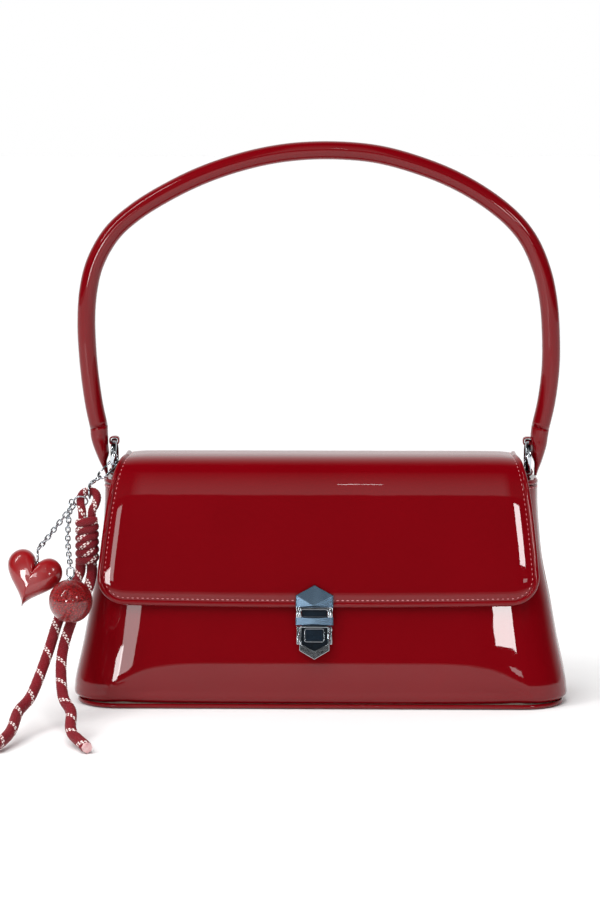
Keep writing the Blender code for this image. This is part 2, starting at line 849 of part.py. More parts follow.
BACKPLATE = 0.0008
RIVET_DIAMETER = 0.0018
HASP_BACKPLATE = 0.0005
ROUND_SIDES = 14


def lock_height():
    """Height of the lock's shoulder line, below the flap's edge."""
    return flap_edge() - LOCK_DROP


def lock_frame():
    """The empty that stands on the front wall at the lock."""
    depth = body_at(lock_height())[1]
    below = body_at(lock_height() - CASE_TIP)[1]
    slope = math.atan((below - depth) / CASE_TIP)
    place = Vector((LOCK_OFFSET, -depth, lock_height()))
    return pivot("lock_frame", place, Matrix.Rotation(-slope, 4, "X"))


def case_top_height():
    """How far the case's narrow top reaches up its frame, to just below the flap's edge."""
    drop = LOCK_DROP - FLAP_SAG
    return drop / math.cos(FLAP_SLOPE) - CASE_TOP_GAP


def hasp_frame():
    """The empty on the flap's middle surface at its lower edge."""
    section = flap_section()
    edge = section[-1][0]
    place = Vector((LOCK_OFFSET, edge.x, edge.y))
    empty = pivot("hasp_frame", place, Matrix.Rotation(-FLAP_SLOPE, 4, "X"))
    return empty


def plate_mesh(name, outlines, back, front):
    """A plate in a lock frame, between two distances out from it."""
    curve = flat_curve(name, outlines, front - back)
    turn = Matrix.Rotation(math.pi / 2, 4, "X")
    place = Matrix.Translation(Vector((0.0, -(front + back) / 2, 0.0))) @ turn
    return plain_mesh(name, curve, place)


def pin_mesh(name, diameter, back, front, x, z):
    """A round pin that stands across a lock frame, between two distances out from it."""
    mesh = bpy.data.meshes.new(name)
    builder = bmesh.new()
    bmesh.ops.create_cone(builder, cap_ends=True, segments=ROUND_SIDES, radius1=diameter / 2,
                          radius2=diameter / 2, depth=front - back)
    turn = Matrix.Rotation(math.pi / 2, 4, "X")
    builder.transform(Matrix.Translation(Vector((x, -(front + back) / 2, z))) @ turn)
    builder.to_mesh(mesh)
    builder.free()
    return mesh


def rectangle(width, low, high):
    """A rectangle centred on the lock's middle line."""
    return [(-width / 2, low), (width / 2, low), (width / 2, high), (-width / 2, high)]


def rounded_rectangle(width, low, high, corner):
    """A rectangle on the lock's middle line with round corners."""
    outline = []
    centres = ((1, 1), (-1, 1), (-1, -1), (1, -1))
    for quarter, (right, up) in enumerate(centres):
        x = right * (width / 2 - corner)
        z = (high - corner) if up > 0 else (low + corner)
        for step in range(CORNER_STEPS + 1):
            angle = math.pi / 2 * (quarter + step / CORNER_STEPS)
            outline.append((x + corner * math.cos(angle), z + corner * math.sin(angle)))
    return outline


CORNER_STEPS = 3


def build_lock_case(frame, front_panel, lining):
    """The lock's case on the front wall, with its screws and the backing plate inside."""
    half = CASE_WIDTH / 2
    body = [(half, -CLEARANCE), (-half, -CLEARANCE), (-half, -CASE_SHOULDER), (0.0, -CASE_TIP),
            (half, -CASE_SHOULDER)]
    case = add_part("lock_case", plate_mesh("lock_case", [body], CLEARANCE, CLEARANCE + CASE_THICKNESS),
                    "chrome", frame, local=True)
    top = rectangle(CASE_TOP_WIDTH, -OVERRUN / 2, case_top_height())
    top_mesh = plate_mesh("lock_case_top", [top], CLEARANCE + CUT_STEP, CLEARANCE + CASE_TOP_THICKNESS)
    combine(case, add_cutter("lock_case_top", top_mesh, frame), "UNION")
    well_half = BUTTON_WIDTH / 2 + CLEARANCE
    well_top = -BUTTON_DROP + CLEARANCE
    well_low = -BUTTON_DROP - BUTTON_HEIGHT - BUTTON_TRAVEL - CLEARANCE
    well = [(well_half, well_top), (-well_half, well_top), (-well_half, well_low),
            (0.0, well_low - WELL_POINT), (well_half, well_low)]
    floor = CLEARANCE + CASE_FLOOR
    well_mesh = plate_mesh("button_well", [well], floor, CASE_THICKNESS + OVERRUN)
    combine(case, add_cutter("button_well", well_mesh, frame), "DIFFERENCE")
    channel = rectangle(CATCH_WIDTH + 2 * CLEARANCE, -BUTTON_DROP - OVERRUN, CATCH_RISE + CLEARANCE)
    channel_mesh = plate_mesh("catch_channel", [channel], floor + CUT_STEP,
                              floor + CATCH_THICKNESS + 2 * CLEARANCE)
    combine(case, add_cutter("catch_channel", channel_mesh, frame), "DIFFERENCE")
    slot = rectangle(CATCH_WIDTH + 2 * CLEARANCE + CUT_STEP, CATCH_RISE, case_top_height() - HASP_HOOK)
    slot_mesh = plate_mesh("hook_slot", [slot], floor + 2 * CUT_STEP, CASE_TOP_THICKNESS + OVERRUN)
    combine(case, add_cutter("hook_slot", slot_mesh, frame), "DIFFERENCE")
    plate_back = -(lining_depth() + CLEARANCE + BACKPLATE)
    plate = rounded_rectangle(CASE_WIDTH, -CASE_SHOULDER, case_top_height(), BUTTON_CORNER)
    backplate = add_part("lock_backplate", plate_mesh(
        "lock_backplate", [plate], plate_back, plate_back + BACKPLATE), "chrome", frame, local=True)
    for word, side in (("left", -1), ("right", 1)):
        x = side * SCREW_SPREAD / 2
        head_front = plate_back - CLEARANCE
        screw_mesh = pin_mesh("lock_screw_" + word, SCREW_DIAMETER, head_front - BACKPLATE / 2, floor,
                              x, SCREW_HEIGHT)
        screw = add_part("lock_screw_" + word, screw_mesh, "chrome", frame, local=True)
        head_mesh = pin_mesh("screw_head_" + word, SCREW_DIAMETER * SCREW_HEAD_SHARE,
                             head_front - BACKPLATE, head_front, x, SCREW_HEIGHT)
        combine(screw, add_cutter("screw_head_" + word, head_mesh, frame), "UNION")
        hole = pin_mesh("screw_hole_" + word, SCREW_DIAMETER + 2 * CLEARANCE, plate_back - OVERRUN,
                        floor + CLEARANCE, x, SCREW_HEIGHT)
        cutter = add_cutter("screw_hole_" + word, hole, frame)
        for part in (case, front_panel, lining, backplate):
            combine(part, cutter, "DIFFERENCE")


WELL_POINT = 0.0018
CUT_STEP = 0.0001
SCREW_HEAD_SHARE = 1.9


def build_lock_button(frame):
    """The sliding button. Its catch runs up behind the case and holds the hasp's hook."""
    floor = 2 * CLEARANCE + CASE_FLOOR
    cap = rounded_rectangle(BUTTON_WIDTH, -BUTTON_DROP - BUTTON_HEIGHT, -BUTTON_DROP, BUTTON_CORNER)
    front = CLEARANCE + CASE_THICKNESS + BUTTON_PROUD
    button_mesh = plate_mesh("lock_button", [cap], floor, front)
    button = add_part("lock_button", button_mesh, "inlay", frame, local=True)
    catch = rectangle(CATCH_WIDTH, -BUTTON_DROP - OVERRUN / 2, CATCH_RISE)
    catch_mesh = plate_mesh("button_catch", [catch], floor, floor + CATCH_THICKNESS)
    combine(button, add_cutter("button_catch", catch_mesh, frame), "UNION")
    return button


def build_hasp(frame, hinge):
    """The hasp on the flap: a faceted plate, a loop below it with a creased bar, and the plate
    and rivets that hold it."""
    frame.parent = hinge
    frame.matrix_parent_inverse = hinge.matrix_basis.inverted()
    back = FLAP_ROLL_DIAMETER / 2 + CLEARANCE
    half = HASP_WIDTH / 2
    window_low = -HASP_WINDOW_HEIGHT - HASP_RIM
    loop_low = window_low - HASP_BAR
    outline = [(half, loop_low), (half, HASP_SHOULDER), (0.0, HASP_APEX), (-half, HASP_SHOULDER),
               (-half, loop_low)]
    window = rectangle(HASP_WINDOW_WIDTH, window_low, -HASP_RIM)
    plate = plate_mesh("hasp_plate", [outline, window], back, back + HASP_PLATE)
    hasp = add_part("hasp_plate", plate, "chrome", frame, local=True)
    front = back + HASP_PLATE + HASP_STEP
    edge = half - HASP_STEP
    low = HASP_STEP - FLAP_SAG
    house = [(edge, low), (edge, HASP_SHOULDER - HASP_STEP / 2), (0.0, HASP_APEX - HASP_STEP),
             (-edge, HASP_SHOULDER - HASP_STEP / 2), (-edge, low)]
    peak = (0.0, HASP_SHOULDER * HASP_PEAK_SHARE)
    facets = pyramid_mesh("hasp_facets", house, peak, back + CLEARANCE, front, front + HASP_PEAK)
    combine(hasp, add_cutter("hasp_facets", facets, frame), "UNION")
    bar = rectangle(HASP_WIDTH - 2 * HASP_STEP, loop_low + HASP_STEP, window_low - HASP_STEP)
    crease = ridge_mesh("hasp_crease", bar, back + CLEARANCE, front, front + HASP_PEAK)
    combine(hasp, add_cutter("hasp_crease", crease, frame), "UNION")
    hook_low = loop_low + CATCH_RISE + 2 * CLEARANCE
    hook = rectangle(CATCH_WIDTH - 2 * CLEARANCE, hook_low, hook_low + HASP_HOOK)
    hook_mesh = plate_mesh("hasp_hook", [hook], back - HASP_HOOK, back + CLEARANCE)
    combine(hasp, add_cutter("hasp_hook", hook_mesh, frame), "UNION")
    flap_thickness = FLAP_EDGE_STEP + FLAP_PANEL_THICKNESS + CLEARANCE + FLAP_LINING_THICKNESS
    plate_front = FLAP_ROLL_DIAMETER / 2 - flap_thickness - CLEARANCE
    plate_outline = rectangle(HASP_WIDTH, FLAP_ROLL_DIAMETER + CLEARANCE, HASP_APEX)
    backplate_mesh = plate_mesh("hasp_backplate", [plate_outline], plate_front - HASP_BACKPLATE, plate_front)
    backplate = add_part("hasp_backplate", backplate_mesh, "chrome", frame, local=True)
    for word, side in (("left", -1), ("right", 1)):
        x = side * SCREW_SPREAD / 2
        z = HASP_SHOULDER * RIVET_SHARE
        low = plate_front - HASP_BACKPLATE
        high = back + HASP_PLATE / 2
        rivet = pin_mesh("hasp_rivet_" + word, RIVET_DIAMETER, low, high, x, z)
        add_part("hasp_rivet_" + word, rivet, "chrome", frame, local=True)
        hole = pin_mesh("rivet_hole_" + word, RIVET_DIAMETER + 2 * CLEARANCE, low - OVERRUN,
                        high + CLEARANCE, x, z)
        cutter = add_cutter("rivet_hole_" + word, hole, frame)
        for part in (hasp, backplate, bpy.data.objects["flap_panel"], bpy.data.objects["flap_lining"]):
            combine(part, cutter, "DIFFERENCE")


HASP_RIM = 0.0028
HASP_STEP = 0.0002
HASP_PEAK_SHARE = 0.35
RIVET_SHARE = 1.1


def pyramid_mesh(name, outline, peak, back, front, top):
    """A block on an outline whose face rises to a peak."""
    mesh = bpy.data.meshes.new(name)
    builder = bmesh.new()
    low = [builder.verts.new((x, -back, z)) for x, z in outline]
    high = [builder.verts.new((x, -front, z)) for x, z in outline]
    tip = builder.verts.new((peak[0], -top, peak[1]))
    builder.faces.new(low)
    for index in range(len(outline)):
        beside = (index + 1) % len(outline)
        builder.faces.new((low[index], low[beside], high[beside], high[index]))
        builder.faces.new((high[index], high[beside], tip))
    bmesh.ops.recalc_face_normals(builder, faces=builder.faces)
    builder.to_mesh(mesh)
    builder.free()
    return mesh


def ridge_mesh(name, outline, back, front, top):
    """A bar on a rectangle whose face has a crease along its middle."""
    (left, low), (right, _), (_, high), _ = outline
    middle = (low + high) / 2
    section = ((back, low), (front, low), (top, middle), (front, high), (back, high))
    rows = [[Vector((x, -out, z)) for out, z in section] for x in (left, right)]
    return closed_loft(name, rows)


# Clasp. It hooks on the left ring's front stretch and leans out over the rim, to its eye
CLASP_ANGLE = math.radians(115)
CLASP_WIRE = 0.0013
CLASP_INNER_WIDTH = 0.0042
CLASP_TOP = 0.0028
CLASP_LENGTH = 0.0112
CLASP_EYE_RADIUS = 0.0040
CLASP_AIM_RISE = 0.0021
SWIVEL_DIAMETER = 0.0022
GATE_WIRE = 0.0010
GATE_START = 0.0032
GATE_LENGTH = 0.0044


def clasp_axes():
    """Where the clasp meets the ring, and its directions along and across."""
    out = Vector((0.0, -math.sin(CLASP_ANGLE), math.cos(CLASP_ANGLE)))
    tangent = Vector((0.0, -math.cos(CLASP_ANGLE), -math.sin(CLASP_ANGLE)))
    origin = ring_centre(-1) + out * RING_RADIUS
    aim = clasp_eye() + Vector((0.0, 0.0, CLASP_AIM_RISE))
    along = (aim - origin).normalized()
    through = (tangent - along * tangent.dot(along)).normalized()
    across = through.cross(along)
    return origin, along, across


def clasp_point(down, side):
    """A point in the clasp's frame: down from the ring and sideways."""
    origin, along, across = clasp_axes()
    return origin + along * down + across * side


def clasp_eye():
    """Centre of the clasp's eye, which the top of the cord's loop passes through."""
    return charm_point(LOOP_ROUTE[len(LOOP_ROUTE) // 2])


def charm_point(offset):
    """A point of the charm, given from the left ring's centre and the rim's front."""
    front = Vector((0.0, -body_at(RIM_HEIGHT)[1], 0.0))
    return ring_centre(-1) + front + Vector(offset)


def charm_route(offsets):
    """A route of the charm, given from the left ring's centre and the rim's front."""
    return [charm_point(offset) for offset in offsets]


def tail_route(route):
    """A tail's route, from under the knot down to the floor."""
    top = charm_point(KNOT_OFFSET).z - TAIL_DROP
    points = [charm_point(point) for point in route]
    for point, (aside, forward, share) in zip(points, route):
        point.z = top * share
    return points


def build_clasp():
    """The sprung clasp: a long hook with a gate in its side, a swivel and an eye below it."""
    half = (CLASP_INNER_WIDTH + CLASP_WIRE) / 2
    path = hook_path(half, -CLASP_TOP, CLASP_LENGTH)
    body = plain_mesh("charm_clasp", wire_curve("charm_clasp", path, CLASP_WIRE / 2, 1))
    clasp = add_part("charm_clasp", body, "chrome")
    foot = clasp_point(CLASP_LENGTH, 0.0)
    towards = foot - clasp_eye()
    towards.x = 0.0
    eye_top = clasp_eye() + towards.normalized() * CLASP_EYE_RADIUS
    swivel = wire_curve("clasp_swivel", [foot + (foot - eye_top).normalized() * CLASP_WIRE, eye_top],
                        SWIVEL_DIAMETER / 2, 2)
    combine(clasp, add_cutter("clasp_swivel", plain_mesh("clasp_swivel", swivel)), "UNION")
    eye = []
    for step in range(CLASP_STEPS):
        angle = math.pi * (2 * step + 1) / CLASP_STEPS
        eye.append(clasp_eye() + Vector((0.0, math.sin(angle), math.cos(angle))) * CLASP_EYE_RADIUS)
    eye_wire = wire_curve("clasp_eye", eye, CLASP_WIRE / 2, 1, closed=True, capped=False)
    combine(clasp, add_cutter("clasp_eye", plain_mesh("clasp_eye", eye_wire)), "UNION")
    gate_end = GATE_START + GATE_LENGTH
    gate_pivot = pivot("clasp_gate_axis", clasp_point(gate_end, half))
    gate_path = [clasp_point(GATE_START, half), clasp_point(gate_end, half)]
    gate = wire_curve("clasp_gate", gate_path, GATE_WIRE / 2, 3)
    add_part("clasp_gate", gate, "chrome", gate_pivot)


CLASP_STEPS = 14


def hook_path(half, top, low):
    """The hook's wire, from below the gate round the lower end, up and over the ring to the
    gate's free end."""
    path = [clasp_point(GATE_START + GATE_LENGTH + GATE_WIRE / 2 + CLEARANCE, half)]
    for step in range(CLASP_STEPS // 2 + 1):
        angle = math.pi * step / (CLASP_STEPS // 2)
        path.append(clasp_point(low - half + half * math.sin(angle), half * math.cos(angle)))
    for step in range(CLASP_STEPS // 2 + 1):
        angle = math.pi * step / (CLASP_STEPS // 2)
        path.append(clasp_point(top + half - half * math.sin(angle), -half * math.cos(angle)))
    path.append(clasp_point(GATE_START - GATE_WIRE / 2 - CLEARANCE, half))
    return path


# Cord of the charm: routes of its free stretches, chosen by eye. They are given from the left
# ring's centre sideways and up, and from the rim's front forwards. The tails' heights are
# shares of the height at which they leave the knot.
LOOP_DIAMETER = 0.0048
LOOP_ROUTE = (
    (-0.01600, -0.00222, -0.02990),
    (-0.01595, -0.00212, -0.02760),
    (-0.01685, 0.00048, -0.02460),
    (-0.01725, 0.00468, -0.02130),
    (-0.01585, 0.00788, -0.01900),
    (-0.01275, 0.00888, -0.01830),
    (-0.00965, 0.00788, -0.01900),
    (-0.00825, 0.00468, -0.02130),
    (-0.00895, 0.00048, -0.02460),
    (-0.01035, -0.00212, -0.02760),
    (-0.01050, -0.00222, -0.02990),
)
RIGHT_TAIL_ROUTE = (
    (-0.01075, -0.00252, 1.00000),
    (-0.01075, -0.00252, 0.96053),
    (-0.01115, -0.00502, 0.91842),
    (-0.01235, -0.01052, 0.85526),
    (-0.01901, -0.02152, 0.68421),
    (-0.02368, -0.03952, 0.44737),
    (-0.02062, -0.06752, 0.24342),
    (-0.01469, -0.08352, 0.16579),
    (-0.01223, -0.10552, 0.09211),
    (-0.00285, -0.12452, 0.04474),
)
LEFT_TAIL_ROUTE = (
    (-0.01725, -0.00252, 1.00000),
    (-0.01725, -0.00252, 0.96053),
    (-0.01855, -0.00502, 0.91842),
    (-0.01949, -0.00952, 0.86184),
    (-0.02658, -0.02152, 0.67763),
    (-0.03173, -0.03952, 0.44079),
    (-0.03691, -0.06752, 0.23684),
    (-0.04208, -0.08352, 0.16316),
    (-0.04351, -0.10552, 0.08947),
    (-0.04857, -0.12452, 0.04474),
)
KNOT_OFFSET = (-0.01325, -0.00252, -0.04400)
WINDING_DIAMETER = 0.0038
WINDING_PITCH = 0.0042
WINDING_TURNS = 5.5
WINDING_RADIUS = 0.0045
WINDING_START = math.radians(150)
LOOP_POINTS = 24
ROUTE_STEPS = 4
TAIL_END_LENGTH = 0.0014
TAIL_DROP = 0.0140


def winding_path():
    """Centre line of the cord wound round the knot, one unbroken helix."""
    centre = charm_point(KNOT_OFFSET)
    count = round(WINDING_TURNS * LOOP_POINTS)
    rise = WINDING_TURNS * WINDING_PITCH
    path = []
    for step in range(count + 1):
        angle = WINDING_START + 2 * math.pi * step / LOOP_POINTS
        height = rise * (2 * step - count) / (2 * count)
        path.append(centre + Vector((WINDING_RADIUS * math.cos(angle), WINDING_RADIUS * math.sin(angle),
                                     height)))
    level = Vector((1.0, 1.0, 0.0))
    first = ((path[0] - path[1]) * level).normalized() * WINDING_DIAMETER
    last = ((path[-1] - path[-2]) * level).normalized() * WINDING_DIAMETER
    return [path[0] + first] + path + [path[-1] + last]


def least_gap(path, diameter, apart):
    """The least gap of a wound tube to itself, between points that lie some steps apart."""
    nearest = min((path[first] - path[second]).length
                  for first in range(len(path)) for second in range(first + apart, len(path)))
    return nearest - diameter


def build_cord(charm):
    """The charm's cord: the loop in the clasp's eye, the wound knot and the two free tails."""
    loop = even_path(smooth_path(charm_route(LOOP_ROUTE), ROUTE_STEPS), LOOP_DIAMETER / 2)
    add_part("charm_cord_loop", wire_curve("charm_cord_loop", loop, LOOP_DIAMETER / 2, 2), "cord", charm)
    winding = winding_path()
    gap = least_gap(winding, WINDING_DIAMETER, LOOP_POINTS // 2)
    print("least gap of the knot's winding to itself, in mm:", round(gap * 1000, 2))
    add_part("charm_knot", wire_curve("charm_knot", winding, WINDING_DIAMETER / 2, 1), "cord", charm)
    core_radius = WINDING_RADIUS - WINDING_DIAMETER / 2 - CLEARANCE
    centre = charm_point(KNOT_OFFSET)
    reach = Vector((0.0, 0.0, TAIL_DROP - 4 * CLEARANCE))
    core = wire_curve("knot_core", [centre - reach, centre + reach], core_radius, 2)
    add_part("knot_core", core, "cord", charm)
    for word, route in (("left", LEFT_TAIL_ROUTE), ("right", RIGHT_TAIL_ROUTE)):
        tail = even_path(smooth_path(tail_route(route), ROUTE_STEPS), CORD_DIAMETER)
        name = "charm_tail_" + word
        add_part(name, wire_curve(name, tail, CORD_DIAMETER / 2, 2), "cord", charm)
        end = tail[-1]
        along = (end - tail[-2]).normalized()
        tip = [end + along * CLEARANCE, end + along * (CLEARANCE + TAIL_END_LENGTH)]
        name = "tail_end_" + word
        add_part(name, wire_curve(name, tip, CORD_DIAMETER * TAIL_END_SHARE / 2, 2), "core", charm)
        print(name, "length in mm:", round(path_length(tail) * 1000, 1))


TAIL_END_SHARE = 0.9

# Chains, heart and ball
JUMP_RADIUS = 0.0037
JUMP_WIRE = 0.0010
LINK_WIDTH = 0.0030
LINK_WIRE = 0.0008
LINK_PITCH = 0.0029
HEART_CHAIN = (
    (-0.02105, 0.00348, -0.02530),
    (-0.02715, -0.00202, -0.03260),
    (-0.03345, -0.01002, -0.04060),
    (-0.03865, -0.01752, -0.04660),
)
BALL_CHAIN = (
    (-0.02165, 0.00088, -0.02210),
    (-0.02255, -0.00452, -0.02830),
    (-0.02275, -0.01252, -0.03870),
    (-0.02155, -0.02152, -0.04680),
    (-0.01945, -0.03162, -0.05400),
)
HEART_OFFSET = (-0.04215, -0.01952, -0.06310)
HEART_WIDTH = 0.0304
HEART_HEIGHT = 0.0300
HEART_THICKNESS = 0.0140
HEART_TILT = math.radians(19)
BALL_OFFSET = (-0.01945, -0.03312, -0.07200)
BALL_DIAMETER = 0.0235


BALL_SEGMENTS = 20
BALL_RINGS = 12


def ring_mesh(name, centre, normal, radius, wire, steps, length=None, lengthwise=None):
    """A closed ring of round wire, or a long link when it has a length."""
    normal = Vector(normal).normalized()
    side = lengthwise or normal.orthogonal().normalized()
    other = normal.cross(side).normalized()
    stretch = ((length or 2 * radius) / 2 - radius)
    path = []
    for step in range(steps):
        angle = 2 * math.pi * step / steps
        push = stretch if math.cos(angle) >= 0 else -stretch
        reach = side * (radius * math.cos(angle) + push)
        path.append(Vector(centre) + reach + other * radius * math.sin(angle))
    return plain_mesh(name, wire_curve(name, path, wire / 2, 1, closed=True, capped=False))


def merged_mesh(name, meshes):
    """Several separate closed shapes in one mesh."""
    mesh = bpy.data.meshes.new(name)
    builder = bmesh.new()
    for part in meshes:
        builder.from_mesh(part)
    builder.to_mesh(mesh)
    builder.free()
    return mesh


def build_chain(name, route, carrier):
    """A fused chain: links that stand across each other and touch along a route."""
    places = even_path(smooth_path(route, CHAIN_STEPS), LINK_PITCH)
    pitch = (places[1] - places[0]).length
    groups = ([], [])
    for index, (start, end) in enumerate(zip(places, places[1:])):
        along = (end - start).normalized()
        flat = along.cross(Vector((0.0, 1.0, 0.0))).normalized()
        normal = flat if index % 2 else along.cross(flat)
        length = pitch + LINK_WIRE * LINK_OVERLAP_SHARE
        link = ring_mesh(name + "_link", (start + end) / 2, normal, (LINK_WIDTH - LINK_WIRE) / 2,
                         LINK_WIRE, LINK_STEPS, length, along)
        groups[index % 2].append(link)
    chain = add_part(name, merged_mesh(name, groups[0]), "chrome", carrier)
    others = add_cutter(name + "_others", merged_mesh(name + "_others", groups[1]))
    combine(chain, others, "UNION")
    return places


LINK_OVERLAP_SHARE = 0.7
LINK_STEPS = 8
CHAIN_STEPS = 12
RING_WIRE_STEPS = 16


def heart_mesh():
    """A puffed heart: its outline drawn in towards a rounded middle, front and back."""
    rows = []
    for level in range(1, HEART_LEVELS):
        lift = math.pi * (2 * level - HEART_LEVELS) / (2 * HEART_LEVELS)
        grow = math.cos(lift) ** HEART_FULLNESS
        row = []
        for step in range(HEART_STEPS):
            t = 2 * math.pi * step / HEART_STEPS
            x = math.sin(t) ** 3
            z = HEART_LIFT_SHARE
            for wave, share in enumerate(HEART_WAVE_SHARES, 1):
                z += share * math.cos(wave * t)
            row.append(Vector((x * HEART_WIDTH / 2 * grow, HEART_THICKNESS / 2 * math.sin(lift),
                               z * HEART_HEIGHT * grow)))
        rows.append(row)
    mesh = closed_loft("heart_charm", rows)
    turn = Matrix.Rotation(HEART_TILT, 4, "Y")
    mesh.transform(Matrix.Translation(charm_point(HEART_OFFSET)) @ turn)
    return mesh


HEART_LEVELS = 10
HEART_STEPS = 24
HEART_WAVE_SHARES = (0.448, -0.172, -0.069, -0.034)
HEART_LIFT_SHARE = 0.086
HEART_FULLNESS = 0.55


HEART_NOTCH_SHARE = 0.34


def charm_eye(name, top, chain_end, normal, carrier):
    """A ring that reaches from the top of a charm to the last link of its chain."""
    along = (Vector(chain_end) - top).normalized()
    low = top + along * (CLEARANCE + EYE_WIRE / 2)
    high = Vector(chain_end) - along * (LINK_WIRE * LINK_OVERLAP_SHARE / 2 + CLEARANCE + EYE_WIRE / 2)
    length = (high - low).length
    mesh = ring_mesh(name, (low + high) / 2, normal, EYE_WIDTH / 2, EYE_WIRE, RING_WIRE_STEPS,
                     max(length, EYE_WIDTH), along)
    add_part(name, mesh, "chrome", carrier)


EYE_WIRE = 0.0010
EYE_WIDTH = 0.0040


def build_charms(charm):
    """The jump ring on the cord's loop, and the heart and the ball on their chains."""
    low, high = charm_point(LOOP_ROUTE[2]), charm_point(LOOP_ROUTE[3])
    jump = ring_mesh("charm_jump_ring", (low + high) / 2, high - low, JUMP_RADIUS, JUMP_WIRE,
                     RING_WIRE_STEPS)
    add_part("charm_jump_ring", jump, "chrome", charm)
    heart_route = charm_route(HEART_CHAIN)
    heart = pivot("heart_swing_axis", heart_route[0])
    heart.parent = charm
    heart.matrix_parent_inverse = charm.matrix_basis.inverted()
    build_chain("heart_chain", heart_route, heart)
    add_part("heart_charm", heart_mesh(), "resin", heart)
    notch = Vector((0.0, 0.0, HEART_HEIGHT * HEART_NOTCH_SHARE))
    top = charm_point(HEART_OFFSET) + Matrix.Rotation(HEART_TILT, 3, "Y") @ notch
    along = (heart_route[-1] - top).normalized()
    charm_eye("heart_eye_ring", top, heart_route[-1], along.cross(Vector((0.0, 1.0, 0.0))), heart)
    ball_route = charm_route(BALL_CHAIN)
    ball = pivot("ball_swing_axis", ball_route[0])
    ball.parent = charm
    ball.matrix_parent_inverse = charm.matrix_basis.inverted()
    build_chain("ball_chain", ball_route, ball)
    ball_mesh = bpy.data.meshes.new("ball_charm")
    builder = bmesh.new()
    bmesh.ops.create_uvsphere(builder, u_segments=BALL_SEGMENTS, v_segments=BALL_RINGS,
                              radius=BALL_DIAMETER / 2)
    builder.transform(Matrix.Translation(charm_point(BALL_OFFSET)))
    builder.to_mesh(ball_mesh)
    builder.free()
    ball_mesh.shade_smooth()
    add_part("ball_charm", ball_mesh, "resin", ball)
    top = charm_point(BALL_OFFSET) + Vector((0.0, 0.0, BALL_DIAMETER / 2))
    charm_eye("ball_ring", top, ball_route[-1], (0.0, 1.0, 0.0), ball)


build_base()
build_walls()
build_lining()
build_rim_binding()
build_rings()
FLAP_HINGE = pivot("flap_hinge_axis", flap_hinge())
build_flap(FLAP_HINGE)
build_hasp(hasp_frame(), FLAP_HINGE)
LOCK_FRAME = lock_frame()
build_lock_case(LOCK_FRAME, bpy.data.objects["front_panel"], bpy.data.objects["lining"])
build_lock_button(LOCK_FRAME)
HANDLE_SWING = pivot("handle_swing_axis", Vector((0.0, 0.0, ring_height())))
build_handle(HANDLE_SWING)
build_clasp()
CHARM_SWING = pivot("charm_swing_axis", clasp_eye())
build_cord(CHARM_SWING)
build_charms(CHARM_SWING)
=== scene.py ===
"""A baguette bag in dark red patent leather, dressed for its product photograph.

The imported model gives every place. Each section builds one piece or group of pieces, in the
order in which the bag is put together, after the camera and the charm's cord.
"""

import math

import bmesh
import bpy
from mathutils import Matrix, Vector, noise


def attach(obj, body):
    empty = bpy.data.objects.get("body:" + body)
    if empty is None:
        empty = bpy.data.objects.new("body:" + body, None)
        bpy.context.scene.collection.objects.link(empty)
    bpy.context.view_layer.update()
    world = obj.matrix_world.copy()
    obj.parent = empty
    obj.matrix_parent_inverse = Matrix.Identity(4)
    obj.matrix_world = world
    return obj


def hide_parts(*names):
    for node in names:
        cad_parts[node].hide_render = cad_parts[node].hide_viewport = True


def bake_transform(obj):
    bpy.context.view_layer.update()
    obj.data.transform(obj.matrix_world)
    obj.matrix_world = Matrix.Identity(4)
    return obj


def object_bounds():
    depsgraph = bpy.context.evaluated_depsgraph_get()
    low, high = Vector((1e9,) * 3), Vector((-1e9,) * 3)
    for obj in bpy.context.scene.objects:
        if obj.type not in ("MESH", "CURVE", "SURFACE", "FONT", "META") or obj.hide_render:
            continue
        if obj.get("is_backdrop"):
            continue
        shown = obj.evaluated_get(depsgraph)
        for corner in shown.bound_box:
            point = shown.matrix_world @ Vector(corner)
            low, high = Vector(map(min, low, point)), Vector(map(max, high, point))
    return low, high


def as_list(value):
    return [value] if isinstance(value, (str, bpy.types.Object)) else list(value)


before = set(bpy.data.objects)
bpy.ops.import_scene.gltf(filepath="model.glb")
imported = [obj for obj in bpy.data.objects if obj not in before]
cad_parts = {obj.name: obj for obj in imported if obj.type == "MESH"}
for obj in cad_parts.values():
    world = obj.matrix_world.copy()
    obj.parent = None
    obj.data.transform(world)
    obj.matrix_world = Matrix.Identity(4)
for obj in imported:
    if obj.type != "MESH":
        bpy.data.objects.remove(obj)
cad_low, cad_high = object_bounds()


# Camera
# The bag was photographed with a long lens from about one and a half metres, a little above
# it and almost straight on. The frame is 600 by 900 pixels.
camera_distance = 1.4825
camera_height = 0.3134
camera_pitch = math.radians(6.78)
camera_azimuth = math.radians(1.0)
camera_aside = -0.0115

camera_data = bpy.data.cameras.new("product_camera")
camera_data.sensor_width = 36.0
camera_data.lens = 108.1
camera = bpy.data.objects.new("product_camera", camera_data)
camera.location = (camera_aside + camera_distance * math.sin(camera_azimuth),
                   -camera_distance * math.cos(camera_azimuth), camera_height)
camera.rotation_euler = (math.pi / 2 - camera_pitch, 0.0, camera_azimuth)
bpy.context.scene.collection.objects.link(camera)
bpy.context.scene.camera = camera
bpy.context.scene.view_settings.view_transform = "Standard"


